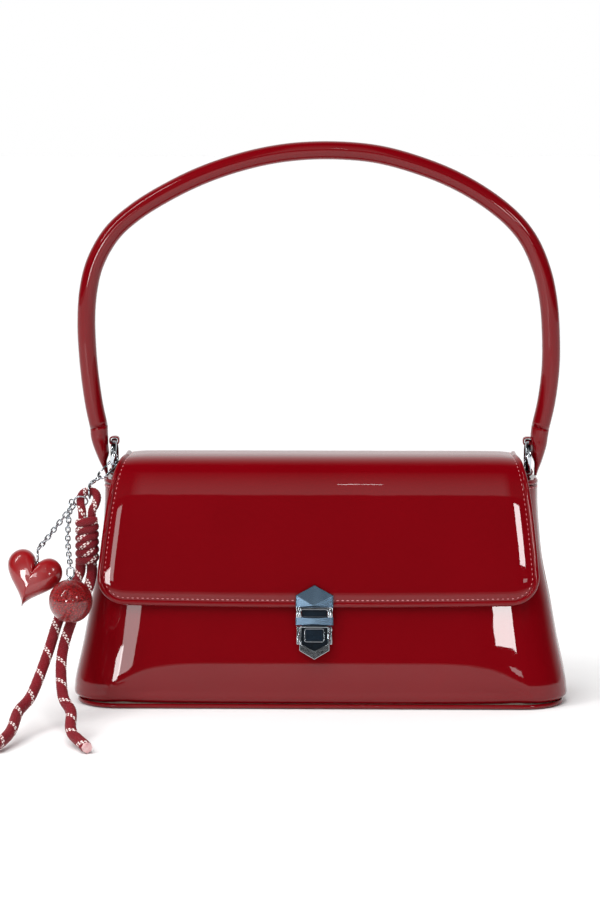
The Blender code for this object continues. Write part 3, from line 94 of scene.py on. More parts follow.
# Charm cord
# One length of braided polyester cord: a loop through the clasp's eye, a wound knot, and two
# free tails that hang down and lie on the table. Strands cross over and under each other, nine
# or ten each way, and two white tracer strands show as slanting flecks.
loop_diameter = 0.0048
loop_route = (
    (-0.12960, -0.0250, 0.0985), (-0.13000, -0.0246, 0.1064), (-0.13090, -0.0220, 0.1094),
    (-0.13130, -0.0178, 0.1127), (-0.12990, -0.0146, 0.1150), (-0.12680, -0.0136, 0.1157),
    (-0.12370, -0.0146, 0.1150), (-0.12230, -0.0178, 0.1127), (-0.12300, -0.0220, 0.1094),
    (-0.12440, -0.0246, 0.1064), (-0.12500, -0.0250, 0.0985),
)
tail_diameter = 0.0061
right_tail_route = (
    (-0.12500, -0.0250, 0.0800), (-0.12480, -0.0250, 0.0730), (-0.12520, -0.0275, 0.0698),
    (-0.12640, -0.0330, 0.0650), (-0.13306, -0.0440, 0.0520), (-0.13773, -0.0620, 0.0340),
    (-0.13467, -0.0900, 0.0185), (-0.12874, -0.1060, 0.0126), (-0.12628, -0.1280, 0.0070),
    (-0.11690, -0.1470, 0.0034),
)
left_tail_route = (
    (-0.13080, -0.0250, 0.0800), (-0.13130, -0.0250, 0.0730), (-0.13260, -0.0275, 0.0698),
    (-0.13354, -0.0320, 0.0655), (-0.14063, -0.0440, 0.0515), (-0.14578, -0.0620, 0.0335),
    (-0.15096, -0.0900, 0.0180), (-0.15613, -0.1060, 0.0124), (-0.15756, -0.1280, 0.0068),
    (-0.16262, -0.1470, 0.0034),
)
knot_centre = Vector((-0.1273, -0.0250, 0.0900))
winding_diameter = 0.0048
winding_radius = 0.0043
winding_pitch = 0.0042
winding_turns = 5.5
winding_points = 48
winding_start = math.radians(150)
strand_fill = 0.62
weave_share = 0.22


def linear(hex_colour):
    """An sRGB hex colour as linear RGBA."""
    channels = [int(hex_colour[start:start + 2], 16) / 255 for start in (0, 2, 4)]
    return [c / 12.92 if c <= 0.04045 else ((c + 0.055) / 1.055) ** 2.4 for c in channels] + [1.0]


def set_inputs(node, inputs):
    """Values or other nodes' sockets on a node's inputs."""
    for name, value in inputs.items():
        if isinstance(value, bpy.types.NodeSocket):
            node.id_data.links.new(value, node.inputs[name])
        else:
            node.inputs[name].default_value = value


def add_node(tree, kind, settings=None, inputs=None):
    """A node with its settings and inputs."""
    node = tree.nodes.new(kind)
    for name, value in (settings or {}).items():
        setattr(node, name, value)
    set_inputs(node, inputs or {})
    return node


def maths(tree, operation, *values):
    """The result of a sum on numbers."""
    return add_node(tree, "ShaderNodeMath", {"operation": operation}, dict(enumerate(values))).outputs[0]


def vectors(tree, operation, *values):
    """The result of a sum on vectors."""
    inputs = dict(zip((0, "Scale" if operation == "SCALE" else 1), values))
    return add_node(tree, "ShaderNodeVectorMath", {"operation": operation}, inputs).outputs[0]


def object_space(tree):
    """A place in the frame, where every piece has its origin."""
    return add_node(tree, "ShaderNodeTexCoord").outputs["Object"]


def noise_at(tree, scale, detail=2.0):
    """Cloudy noise of a given scale."""
    return add_node(tree, "ShaderNodeTexNoise", None, {
        "Vector": object_space(tree), "Scale": scale, "Detail": detail}).outputs[0]


def mixed(tree, share, low, high):
    """A mix of two colours, each a hex colour or a socket."""
    low, high = (linear(colour) if isinstance(colour, str) else colour for colour in (low, high))
    return add_node(tree, "ShaderNodeMix", {"data_type": "RGBA"}, {0: share, 6: low, 7: high}).outputs[2]


def bumped(tree, height, strength, distance):
    """A normal with relief."""
    return add_node(tree, "ShaderNodeBump", None, {
        "Strength": strength, "Distance": distance, "Height": height}).outputs[0]


def new_material(name):
    """A material with its node tree and its Principled shader."""
    material = bpy.data.materials.new(name)
    material.use_nodes = True
    return material, material.node_tree, material.node_tree.nodes["Principled BSDF"]


def dress_nodes(material, *names):
    """CAD nodes that are shown as they are get their material."""
    for name in names:
        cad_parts[name].data.materials.clear()
        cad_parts[name].data.materials.append(material)


def new_tree(name, **kinds):
    """A Geometry Nodes tree with named inputs for sizes and material, and what its inputs give."""
    tree = bpy.data.node_groups.new(name, "GeometryNodeTree")
    for kind, labels in {"Geometry": ("Geometry",), **kinds, "Material": ("Material",)}.items():
        for label in labels:
            tree.interface.new_socket(label, in_out="INPUT", socket_type="NodeSocket" + kind)
    tree.interface.new_socket("Geometry", in_out="OUTPUT", socket_type="NodeSocketGeometry")
    return tree, tree.nodes.new("NodeGroupInput").outputs


def end_tree(tree, given, geometry, smooth=True):
    """The end of a tree: real geometry with its material."""
    if smooth:
        geometry = add_node(tree, "GeometryNodeSetShadeSmooth", None, {0: geometry}).outputs[0]
    real = add_node(tree, "GeometryNodeRealizeInstances", None, {0: geometry}).outputs[0]
    dressed = add_node(tree, "GeometryNodeSetMaterial", None, {
        "Geometry": real, "Material": given["Material"]})
    set_inputs(tree.nodes.new("NodeGroupOutput"), {0: dressed.outputs[0]})


def grown_mesh(host, tree, values):
    """The plain mesh that a tree makes from a host mesh."""
    holder = bpy.data.objects.new("host", host)
    bpy.context.scene.collection.objects.link(holder)
    modifier = holder.modifiers.new("grow", "NODES")
    modifier.node_group = tree
    for socket in tree.interface.items_tree:
        if socket.in_out == "INPUT" and socket.name in values:
            modifier[socket.identifier] = values[socket.name]
    mesh = applied_mesh(holder)
    bpy.data.objects.remove(holder)
    return mesh


def applied_mesh(piece):
    """The mesh of an object with its modifiers applied."""
    depsgraph = bpy.context.evaluated_depsgraph_get()
    return bpy.data.meshes.new_from_object(piece.evaluated_get(depsgraph), depsgraph=depsgraph)


def add_piece(name, mesh, material, body, *nodes):
    """A shown piece that rides on a body and stands for CAD nodes."""
    mesh.name = name
    piece = bpy.data.objects.new(name, mesh)
    bpy.context.scene.collection.objects.link(piece)
    mesh.materials.clear()
    mesh.materials.append(material)
    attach(piece, body)
    if nodes:
        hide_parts(*nodes)
    return piece


def smooth_path(points, steps):
    """Points along a smooth curve through the given ones."""
    path = [Vector(point) for point in points]
    ends = [path[0] * 2 - path[1]] + path + [path[-1] * 2 - path[-2]]
    smooth = []
    for before, start, end, after in zip(ends, ends[1:], ends[2:], ends[3:]):
        for step in range(steps):
            t = step / steps
            bend = (end - before) * t
            bend += (before * 2 - start * 5 + end * 4 - after) * t ** 2
            bend += (start * 3 - end * 3 + after - before) * t ** 3
            smooth.append(start + bend / 2)
    return smooth + [path[-1]]


def even_path(points, spacing):
    """Points at even distances along a path."""
    lengths = [0.0]
    for start, end in zip(points, points[1:]):
        lengths.append(lengths[-1] + (end - start).length)
    count = max(2, round(lengths[-1] / spacing))
    even = []
    span = 0
    for index in range(count + 1):
        distance = lengths[-1] * index / count
        while span < len(points) - 2 and lengths[span + 1] < distance:
            span += 1
        share = (distance - lengths[span]) / (lengths[span + 1] - lengths[span])
        even.append(points[span].lerp(points[span + 1], share))
    return even


def line_mesh(points, closed=False):
    """A path as a mesh of edges, for a tree to follow."""
    edges = [(index, index + 1) for index in range(len(points) - 1)]
    mesh = bpy.data.meshes.new("line")
    mesh.from_pydata([tuple(point) for point in points], edges + [(len(points) - 1, 0)] * closed, [])
    return mesh


# Solution-dyed polyester braid: satiny yarns with a soft sheen along each strand, and painted shade,
# a darker red, where each strand sinks into the grooves between them
cord_polyester, tree, shader = new_material("braided_polyester_cord")
marks = {label: add_node(tree, "ShaderNodeAttribute", {"attribute_name": label}).outputs["Fac"]
         for label in ("lift", "tracer")}
yarn = mixed(tree, noise_at(tree, 140.0), "6E0414", "960A20")
# The strands' lift darkens the colour where they sink: painted shade in the grooves
dyed_with_groove_shade = mixed(tree, marks["tracer"], mixed(tree, marks["lift"], "3A0207", yarn), "F4E6E2")
set_inputs(shader, {
    "Base Color": dyed_with_groove_shade, "Normal": bumped(tree, noise_at(tree, 2600.0, 3.0), 0.35, 0.0001),
    "Roughness": 0.55, "Sheen Weight": 0.1, "Sheen Roughness": 0.4})

# The braid: strands run round the cord both ways, and each rises and sinks as it crosses the
# strands of the other way
braid, given = new_tree("braided_cord", Int=("Strands each way",), Float=(
    "Cord diameter", "Lay length", "Strand diameter", "Weave depth", "Step length"))
each_way, weave = given["Strands each way"], given["Weave depth"]
route = add_node(braid, "GeometryNodeMeshToCurve", None, {0: given["Geometry"]})
steps = add_node(braid, "GeometryNodeResampleCurve", {"mode": "LENGTH"}, {
    "Curve": route.outputs[0], "Length": given["Step length"]})
copies = add_node(braid, "GeometryNodeDuplicateElements", {"domain": "SPLINE"}, {
    "Geometry": steps.outputs[0], "Amount": maths(braid, "MULTIPLY", each_way, 2.0)})
number = copies.outputs["Duplicate Index"]
parity = maths(braid, "MODULO", number, 2.0)
way = maths(braid, "MULTIPLY_ADD", parity, 2.0, -1.0)
place_round = maths(braid, "DIVIDE", maths(braid, "FLOOR", maths(braid, "MULTIPLY", number, 0.5)), each_way)
along = add_node(braid, "GeometryNodeSplineParameter").outputs["Length"]
turns = maths(braid, "DIVIDE", along, given["Lay length"])
whole_turns = maths(braid, "ADD", maths(braid, "MULTIPLY", turns, way), place_round)
angle = maths(braid, "MULTIPLY", whole_turns, math.tau)
crossings = maths(braid, "MULTIPLY", maths(braid, "MULTIPLY", turns, each_way), math.tau)
signed_wave = maths(braid, "MULTIPLY", maths(braid, "COSINE", crossings), way)
strand_radius = maths(braid, "MULTIPLY", given["Strand diameter"], 0.5)
lay_radius = maths(braid, "SUBTRACT", maths(braid, "MULTIPLY", given["Cord diameter"], 0.5), strand_radius)
middle_radius = maths(braid, "SUBTRACT", lay_radius, weave)
radius = maths(braid, "MULTIPLY_ADD", signed_wave, weave, middle_radius)
normal = add_node(braid, "GeometryNodeInputNormal").outputs[0]
beside = vectors(braid, "CROSS_PRODUCT", add_node(braid, "GeometryNodeInputTangent").outputs[0], normal)
outwards = vectors(braid, "ADD", vectors(braid, "SCALE", normal, maths(braid, "COSINE", angle)),
                   vectors(braid, "SCALE", beside, maths(braid, "SINE", angle)))
is_tracer = maths(braid, "MULTIPLY", maths(braid, "LESS_THAN", number, 2.5),
                  maths(braid, "LESS_THAN", parity, 0.5))
strand_lines = copies.outputs["Geometry"]
# The lift is kept for the material, which paints shade where a strand sinks
for label, value in (("tracer", is_tracer), ("lift", maths(braid, "MULTIPLY_ADD", signed_wave, 0.5, 0.5))):
    strand_lines = add_node(
        braid, "GeometryNodeStoreNamedAttribute", {"data_type": "FLOAT", "domain": "POINT"}, {
            "Geometry": strand_lines, "Name": label, "Value": value}).outputs[0]
moved = add_node(braid, "GeometryNodeSetPosition", None, {
    "Geometry": strand_lines, "Offset": vectors(braid, "SCALE", outwards, radius)})
both = add_node(braid, "GeometryNodeJoinGeometry")
for lines, sides, size in ((moved, 5, strand_radius), (steps, 12, middle_radius)):
    section = add_node(braid, "GeometryNodeCurvePrimitiveCircle", None, {"Resolution": sides, "Radius": size})
    set_inputs(both, {0: add_node(braid, "GeometryNodeCurveToMesh", None, {
        "Curve": lines.outputs[0], "Profile Curve": section.outputs[0], "Fill Caps": True}).outputs[0]})
end_tree(braid, given, both.outputs[0])

winding = []
for step in range(round(winding_turns * winding_points) + 1):
    turn = winding_start + math.tau * step / winding_points
    height = winding_pitch * (step / winding_points - winding_turns / 2)
    winding.append(knot_centre + Vector((
        winding_radius * math.cos(turn), winding_radius * math.sin(turn), height)))
level = Vector((1.0, 1.0, 0.0))
lead_in = ((winding[0] - winding[1]) * level).normalized() * winding_diameter / 3
lead_out = ((winding[-1] - winding[-2]) * level).normalized() * winding_diameter / 3
winding = [winding[0] + lead_in] + winding + [winding[-1] + lead_out]
for name, path, diameter, strand_count, lay_length, far_end, lay, ends in (
        ("charm_cord_loop", smooth_path(loop_route, 10), loop_diameter, 9, 0.0160, "object", "hanging", ()),
        ("charm_knot", winding, winding_diameter, 9, 0.0137, "object", "coiled", ()),
        ("charm_tail_left", smooth_path(left_tail_route, 10), tail_diameter, 10, 0.0175, "bare", "hanging",
         ("tail_end_left",)),
        ("charm_tail_right", smooth_path(right_tail_route, 10), tail_diameter, 10, 0.0175, "bare", "hanging",
         ("tail_end_right",))):
    strand_diameter = math.pi * diameter / strand_count * strand_fill
    braided = grown_mesh(line_mesh(path), braid, {
        "Cord diameter": diameter, "Strands each way": strand_count, "Lay length": lay_length,
        "Strand diameter": strand_diameter, "Weave depth": strand_diameter * weave_share,
        "Step length": lay_length / strand_count / 5, "Material": cord_polyester})
    piece = add_piece(name + "_braid", braided, cord_polyester, "charm", name)
    points = even_path(path, diameter / 2)
    length = sum((end - start).length for start, end in zip(path, path[1:]))
    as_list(ends)

# Heat-cut ends: the polyester has melted into a hard pale bead on the last millimetre
melted_polyester, tree, shader = new_material("melted_polyester_end")
blotches = noise_at(tree, 420.0, 3.0)
set_inputs(shader, {"Base Color": mixed(tree, blotches, "B8344A", "FFF4F0"),
                    "Normal": bumped(tree, blotches, 0.5, 0.0003), "Roughness": 0.3})
dress_nodes(melted_polyester, "tail_end_left", "tail_end_right")
dress_nodes(cord_polyester, "knot_core")


# Base
# A flat patent panel under the bag, stiffened by a board inside, with a round piping sewn
# into the seam between the base and the walls.
bag_width = 0.2712
bag_depth = 0.0850
rim_height = 0.1197
wall_thickness = 0.0020
lining_thickness = 0.0010
clearance = 0.0003
body_profile_shares = (
    (0.000, 0.987, 0.965), (0.020, 1.000, 1.000), (0.055, 0.9985, 0.998), (0.110, 0.9920, 0.986),
    (0.265, 0.9624, 0.906), (0.454, 0.9322, 0.800), (0.634, 0.8997, 0.706), (0.780, 0.8850, 0.635),
    (0.900, 0.8776, 0.576), (1.000, 0.8761, 0.529),
)
base_corner = 0.0240
rim_corner = 0.0160
piping_height = 0.0024
piping_width = 0.0026
wall_foot = 2 * clearance + piping_height


def body_rows(steps):
    """Height, half-width, half-depth and corner radius of the walls, from the base up."""
    rows = []
    for share, width_share, depth_share in smooth_path(body_profile_shares, steps):
        half_depth = bag_depth / 2 * depth_share
        corner = min(base_corner + (rim_corner - base_corner) * share, 0.95 * half_depth)
        rows.append((wall_foot + (rim_height - wall_foot) * share, bag_width / 2 * width_share,
                     half_depth, corner))
    return rows


def body_at(height):
    """Half-width, half-depth and corner radius of the walls at a height."""
    rows = body_rows(6)
    for low, high in zip(rows, rows[1:]):
        if height <= high[0] or high is rows[-1]:
            share = (height - low[0]) / (high[0] - low[0])
            return [a + (b - a) * share for a, b in zip(low[1:], high[1:])]


def front_plan(half_width, half_depth, corner, arc_steps, flat_steps):
    """Plan of the front half of the body, from the left side seam to the right one."""
    left = [Vector((-half_width, 0.0))]
    centre = Vector((corner - half_width, corner - half_depth))
    for step in range(arc_steps + 1):
        turn = math.pi + math.pi / 2 * step / arc_steps
        left.append(centre + corner * Vector((math.cos(turn), math.sin(turn))))
    flat = half_width - corner
    middle = [Vector((flat * (2 * step / flat_steps - 1), -half_depth)) for step in range(1, flat_steps)]
    return left + middle + [Vector((-point.x, point.y)) for point in reversed(left)]


def whole_plan(half_width, half_depth, corner, arc_steps=12, flat_steps=24):
    """The whole outline of the body, anticlockwise from the left side."""
    front = front_plan(half_width, half_depth, corner, arc_steps, flat_steps)
    return front[:-1] + [Vector((-point.x, -point.y)) for point in front[:-1]]


def circle(count):
    """Cosine and sine at even steps round a circle."""
    return [(math.cos(math.tau * step / count), math.sin(math.tau * step / count)) for step in range(count)]


def eased(value, power):
    """A signed value raised to a power."""
    return math.copysign(abs(value) ** power, value)


def join_rows(builder, low, high, closed):
    """Faces between two rows of corners."""
    for column in range(len(low) if closed else len(low) - 1):
        beside_it = (column + 1) % len(low)
        builder.faces.new((low[column], low[beside_it], high[beside_it], high[column]))


def built_mesh(builder, outwards=True):
    """A smooth mesh of what has been built, with its faces turned outwards."""
    if outwards:
        bmesh.ops.recalc_face_normals(builder, faces=builder.faces)
    mesh = bpy.data.meshes.new("built")
    builder.to_mesh(mesh)
    builder.free()
    mesh.shade_smooth()
    return mesh


def grid_mesh(rows, closed_columns=False, closed_rows=False, caps=(), outwards=False, shift=0):
    """Rows of points joined by faces. Columns run to the right and rows up, from outside."""
    builder = bmesh.new()
    grid = [[builder.verts.new(point) for point in row] for row in rows]
    pairs = list(zip(grid, grid[1:]))
    if closed_rows:
        pairs.append((grid[-1], grid[0][shift:] + grid[0][:shift]))
    for low, high in pairs:
        join_rows(builder, low, high, closed_columns)
    for cap in caps:
        builder.faces.new(grid[cap] if cap else list(reversed(grid[cap])))
    return built_mesh(builder, outwards)


def round_section(low, high, inner, outer, steps, power):
    """A rounded section between two heights, anticlockwise from its outer middle."""
    return [((inner + outer) / 2 + (outer - inner) / 2 * eased(cosine, 2 / power),
             (low + high) / 2 + (high - low) / 2 * eased(sine, 2 / power)) for cosine, sine in circle(steps)]


def band_mesh(plan, section):
    """A closed band round an outline of the body."""
    half_width, half_depth, corner = plan
    rows = [[Vector((point.x, point.y, height))
             for point in whole_plan(half_width + out, half_depth + out, corner + out)]
            for out, height in section]
    return grid_mesh(rows, closed_columns=True, closed_rows=True)


# Patent leather: dyed calf under a thick clear lacquer. The lacquer is mirror-smooth but for a
# slow waviness from the hide, and the dye clouds a little under it
patent, tree, shader = new_material("lacquered_patent_leather")
ripple = maths(tree, "MULTIPLY_ADD", noise_at(tree, 620.0), 0.012, noise_at(tree, 55.0, 1.5))
set_inputs(shader, {
    "Base Color": mixed(tree, noise_at(tree, 22.0), "6C0007", "75000A"),
    "Coat Normal": bumped(tree, ripple, 0.1, 0.0004), "Roughness": 0.45, "Specular IOR Level": 0.03,
    "Coat Weight": 1.0, "Coat Roughness": 0.015, "Coat IOR": 1.42})

section = round_section(clearance, clearance + piping_height, -piping_width, 0.0, 14, 2.2)
add_piece("base_piping_cord", band_mesh(body_at(wall_foot), section), patent, "root", "base_piping")

# Grey bookbinder's board: pressed paper pulp with a dry, faintly fibrous face
board, tree, shader = new_material("pressed_pulp_board")
set_inputs(shader, {
    "Base Color": mixed(tree, noise_at(tree, 900.0, 4.0), "6F6A60", "958F83"), "Roughness": 0.9})
dress_nodes(patent, "base_panel")
dress_nodes(board, "base_board")


# Walls
# Two panels of patent leather over a stiff backing, closed at the sides by a seam with a
# narrow welt. They stand out most just above the base and lean in towards the rim.
wall_pull = 0.0019
wall_wave = 0.00006
wave_scale = Vector((22, 22, 26))
crease_height = 0.0265
crease_depth = 0.0016
crease_fall = 0.014
crease_reach = 0.120
seam_calm = 0.02
welt_diameter = 0.0011
welt_stand = 0.0002


def wall_point(point, height, flat_half):
    """A point of the wall: drawn in towards the side seams, and under an arched crease."""
    share = min(max((height - wall_foot) / (rim_height - wall_foot), 0.0), 1.0)
    hump = min((1 - share) / 0.35, 1.0)
    off_seam = min(abs(point.y) / seam_calm, 1.0)
    pull = wall_pull * hump * min(abs(point.x) / flat_half, 1.05) ** 5 * off_seam
    arch = crease_height * (1 - min(abs(point.x) / crease_reach, 1.0) ** 8.5)
    if arch > height:
        pull += crease_depth * min((arch - height) / crease_fall, 1.0) * off_seam
    calm = min(1.0, abs(point.x) / 0.03) * hump
    wave = noise.noise(Vector((point.x, point.y, height)) * wave_scale) * wall_wave * calm
    return Vector((point.x, point.y + math.copysign(1.0, point.y) * (wave - pull), height))


def thicken(piece, thickness, offset=-1.0):
    """Thickness for a sheet, inwards from its outer face or outwards from its inner one."""
    modifier = piece.modifiers.new("thickness", "SOLIDIFY")
    modifier.thickness = thickness
    modifier.offset = offset


for name, side in (("front_panel", -1), ("back_panel", 1)):
    rows = [[wall_point(-side * point, height, half_width - corner)
             for point in front_plan(half_width, half_depth, corner, 18, 72)]
            for height, half_width, half_depth, corner in body_rows(8)]
    thicken(add_piece(name + "_leather", grid_mesh(rows), patent, "root", name), wall_thickness)


def tube_mesh(path, radius, sides, closed=False, sizes=None):
    """A round tube along a path, with a cap on each end unless it is closed."""
    count = len(path)
    side_way = None
    rings = []
    for index, point in enumerate(path):
        before = path[index - 1] if closed or index else path[0]
        after = path[(index + 1) % count] if closed or index < count - 1 else path[-1]
        tangent = (after - before).normalized()
        side_way = side_way or tangent.orthogonal().normalized()
        side_way = (side_way - tangent * side_way.dot(tangent)).normalized()
        other = tangent.cross(side_way)
        here = radius * (sizes[index] if sizes else 1.0)
        rings.append([point + (side_way * cosine + other * sine) * here for cosine, sine in circle(sides)])
    if not closed:
        return grid_mesh(rings, closed_columns=True, caps=(0, -1))
    shift = min(range(sides), key=lambda turn: (rings[-1][0] - rings[0][turn]).length)
    return grid_mesh(rings, closed_columns=True, closed_rows=True, shift=shift)


for word, side in (("left", -1), ("right", 1)):
    path = [Vector((side * (half_width + welt_stand), 0.0, height))
            for height, half_width, _, _ in body_rows(8)]
    add_piece("side_welt_" + word, tube_mesh(path, welt_diameter / 2, 10), patent, "root")


# Lining
# A tub of wine-red twill glued inside the walls and sewn in under the rim binding.
lining_inset = wall_thickness + 1.5 * clearance + lining_thickness
base_leather = 0.0016
board_thickness = 0.0020
lining_floor = base_leather + board_thickness + 2 * clearance
lining_round = 0.0025
twill_thread = 0.0009

# Cotton twill: slanting ribs a little under a millimetre apart, drawn coarser than the real
# thread so that they show, with a matt, slightly fuzzy face
twill, tree, shader = new_material("woven_cotton_twill")
ribs = add_node(tree, "ShaderNodeTexWave", {"wave_type": "BANDS", "bands_direction": "DIAGONAL"}, {
    "Vector": object_space(tree), "Scale": 0.31 / twill_thread, "Distortion": 0.6, "Detail": 1.0})
set_inputs(shader, {
    "Base Color": mixed(tree, noise_at(tree, 300.0, 3.0), "4A0A12", "6B1420"),
    "Normal": bumped(tree, ribs.outputs[1], 0.6, 0.0002), "Roughness": 0.9, "Sheen Weight": 0.3})

inset = lining_inset + lining_round
outline = whole_plan(*(size - inset for size in body_at(lining_floor)), 10, 30)
rows = [[Vector((point.x, point.y, lining_floor)) for point in outline]]
for height, half_width, half_depth, corner in body_rows(4):
    if height >= lining_floor + lining_round:
        drawn_in = [size - lining_inset for size in (half_width, half_depth, corner)]
        outline = whole_plan(*drawn_in, 10, 30)
        rows.append([wall_point(point, height, half_width - corner) for point in outline])
tub = grid_mesh(rows, closed_columns=True, caps=(0,))
thicken(add_piece("lining_twill", tub, twill, "root", "lining"), lining_thickness, 1.0)


# Rim binding
# A strip of patent leather folded over the top edge of walls and lining and sewn through.
binding_height = 0.0026
binding_lip = 0.0006
stitch_pitch = 0.0027
stitch_length = 0.0019
thread_diameter = 0.0006
seam_drop = 0.0012
seam_stand = 0.0001

low = rim_height + clearance
section = round_section(low, low + binding_height, -lining_inset, binding_lip, 16, 3.2)
add_piece("rim_binding_strip", band_mesh(body_at(rim_height), section), patent, "root", "rim_binding")

# Waxed thread: bonded nylon, paler than the leather because its wax catches the light
thread, tree, shader = new_material("waxed_nylon_thread")
set_inputs(shader, {"Base Color": mixed(tree, noise_at(tree, 1500.0), "A83040", "E9A6A8"), "Roughness": 0.4})


def aimed_points(tree, given, pitch=None):
    """Points along the host's line, at a pitch or at its corners, and turns that lay X along it."""
    line = add_node(tree, "GeometryNodeMeshToCurve", None, {0: given["Geometry"]})
    spots = add_node(tree, "GeometryNodeCurveToPoints", {"mode": "LENGTH" if pitch else "EVALUATED"}, {
        "Curve": line.outputs[0], **({"Length": given[pitch]} if pitch else {})})
    aim = add_node(tree, "FunctionNodeAlignRotationToVector", {"axis": "X"}, {
        "Vector": spots.outputs["Tangent"]})
    return spots.outputs["Points"], aim.outputs[0]


def copies_on(tree, points, copy, turn, size=(1.0, 1.0, 1.0)):
    """A copy at each point."""
    return add_node(tree, "GeometryNodeInstanceOnPoints", None, {
        "Points": points, "Instance": copy, "Rotation": turn, "Scale": size}).outputs[0]


# Lock-stitch seam: short tapered stitches at an even pitch along a line
stitching, given = new_tree("stitch_line", Float=("Stitch pitch", "Stitch length", "Thread diameter"))
points, aim = aimed_points(stitching, given, "Stitch pitch")
bead = add_node(stitching, "GeometryNodeMeshUVSphere", None, {"Segments": 8, "Rings": 6, "Radius": 0.5})
size = add_node(stitching, "ShaderNodeCombineXYZ", None, {
    0: given["Stitch length"], 1: given["Thread diameter"], 2: given["Thread diameter"]})
end_tree(stitching, given, copies_on(stitching, points, bead.outputs["Mesh"], aim, size.outputs[0]))
stitch_values = {"Stitch pitch": stitch_pitch, "Stitch length": stitch_length,
                 "Thread diameter": thread_diameter, "Material": thread}

half_width, half_depth, corner = body_at(rim_height - seam_drop)
outline = whole_plan(half_width + seam_stand, half_depth + seam_stand, corner)
seam_line = line_mesh([Vector((point.x, point.y, rim_height - seam_drop)) for point in outline], True)
add_piece("rim_stitches", grown_mesh(seam_line, stitching, stitch_values), thread, "root")


# Rings and tabs
# Two cast O-rings in bright chrome, each held by a short leather tab sewn inside the side wall.
ring_radius = 0.0084
ring_width = 0.0032
ring_thickness = 0.0024
ring_height = 0.1340
tab_leather = 0.0010
ring_spread = body_at(rim_height)[0] - lining_inset - clearance - tab_leather

# Chrome plating on zinc: a blue-white mirror with fine handling scratches
chrome, tree, shader = new_material("chrome_plated_zinc")
haze = add_node(tree, "ShaderNodeMapRange", None, {
    "Value": noise_at(tree, 700.0, 4.0), "To Min": 0.06, "To Max": 0.22})
set_inputs(shader, {"Base Color": linear("CDD3D9"), "Metallic": 1.0, "Roughness": haze.outputs[0]})

ring_section = round_section(
    -ring_thickness / 2, ring_thickness / 2, -ring_width / 2, ring_width / 2, 16, 3.0)
for word, side in (("left", -1), ("right", 1)):
    rows = [[Vector((side * ring_spread + across, sine * (ring_radius + out),
                     ring_height + cosine * (ring_radius + out))) for across, out in ring_section]
            for cosine, sine in circle(72)]
    ring = grid_mesh(rows, closed_columns=True, closed_rows=True, outwards=True)
    add_piece("o_ring_" + word, ring, chrome, "root", "ring_" + word)
dress_nodes(patent, "ring_tab_left", "ring_tab_right")


# Handle
# A soft core wrapped in patent leather, glued along one seam on the inner side, with a leather
# end at each foot that folds round its ring.
handle_span = 0.2560
handle_rise = 0.1677
handle_diameter = 0.0100
handle_step = 0.0025
left_arm_shares = (
    (0.9580, 0.095), (0.9810, 0.183), (1.0010, 0.314), (1.0080, 0.445), (0.9960, 0.554), (0.9620, 0.645),
    (0.8920, 0.733), (0.7900, 0.802), (0.6600, 0.863), (0.5200, 0.915), (0.3700, 0.956), (0.2200, 0.984),
    (0.0700, 0.998),
)
right_arm_shares = (
    (0.9450, 0.095), (0.9700, 0.183), (0.9860, 0.290), (0.9860, 0.400), (0.9740, 0.510), (0.9450, 0.610),
    (0.8910, 0.705), (0.8120, 0.780), (0.6950, 0.850), (0.5600, 0.908), (0.4100, 0.953), (0.2500, 0.986),
    (0.0900, 0.999),
)
handle_unevenness = 0.012
handle_end_shares = (
    (1.050, 0.120, 1.090, 0.505), (0.600, 0.165, 1.030, 0.530), (0.100, 0.185, 0.900, 0.540),
    (-0.330, 0.350, 0.760, 0.500), (-0.700, 0.350, 0.620, 0.400), (-0.960, 0.360, 0.540, 0.240),
    (-1.070, 0.380, 0.520, 0.080),
)
end_sides = 28
strap_half_width = 0.0030

arch = [Vector((side * handle_span / 2 * x, 0.0, ring_height + handle_rise * z)) for side, arm in (
    (-1, left_arm_shares), (1, reversed(right_arm_shares))) for x, z in arm]
handle_path = even_path(smooth_path(arch, 12), handle_step)
sizes = [1 + handle_unevenness * noise.noise(Vector((index * 0.11, 3.1, 0.0)))
         for index in range(len(handle_path))]
add_piece("handle_leather", tube_mesh(handle_path, handle_diameter / 2, 32, sizes=sizes), patent, "handle",
          "handle_cover", "handle_core")

strap_section = round_section(-tab_leather / 2, tab_leather / 2, -strap_half_width, strap_half_width, 14, 3.5)
for word, side, lean in (("left", -1, 0.11), ("right", 1, 0.01)):
    foot, above = handle_path[:2] if side < 0 else (handle_path[-1], handle_path[-2])
    rise = (above - foot).normalized()
    across = Vector((rise.z, 0.0, -rise.x)) * side
    top = foot - rise * clearance / 2
    rings = [[top + (across * cosine + Vector((0.0, sine, 0.0))) * handle_diameter / 2
              for cosine, sine in circle(end_sides)]]
    for height, inner, outer, half in handle_end_shares:
        middle = ring_spread + ((inner + outer) / 2 + lean * max(height + 1, 0)) * handle_diameter
        reach = (outer - inner) / 2 * handle_diameter
        rings.append([Vector((side * (middle + reach * cosine), half * handle_diameter * sine,
                              ring_height + height * handle_diameter)) for cosine, sine in circle(end_sides)])
    rows = list(zip(*(smooth_path(column, 4) for column in zip(*rings))))
    foot_mesh = grid_mesh(rows, closed_columns=True, caps=(0, -1), outwards=True)
    add_piece("handle_foot_" + word, foot_mesh, patent, "handle", "handle_end_" + word)

    # The strap of the foot that goes through the ring and back into the leather
    rows = []
    for cosine, sine in circle(28):
        around = Vector(((ring_width / 2 + clearance + tab_leather / 2) * eased(cosine, 0.7), 0.0,
                         (ring_thickness / 2 + clearance + tab_leather / 2) * eased(sine, 0.7)))
        centre = Vector((side * ring_spread, 0.0, ring_height + ring_radius)) + around
        rows.append([centre + Vector((0, aside, 0)) + around.normalized() * out
                     for aside, out in strap_section])
    add_piece("handle_strap_" + word, grid_mesh(rows, closed_columns=True, closed_rows=True, outwards=True),
              patent, "handle")


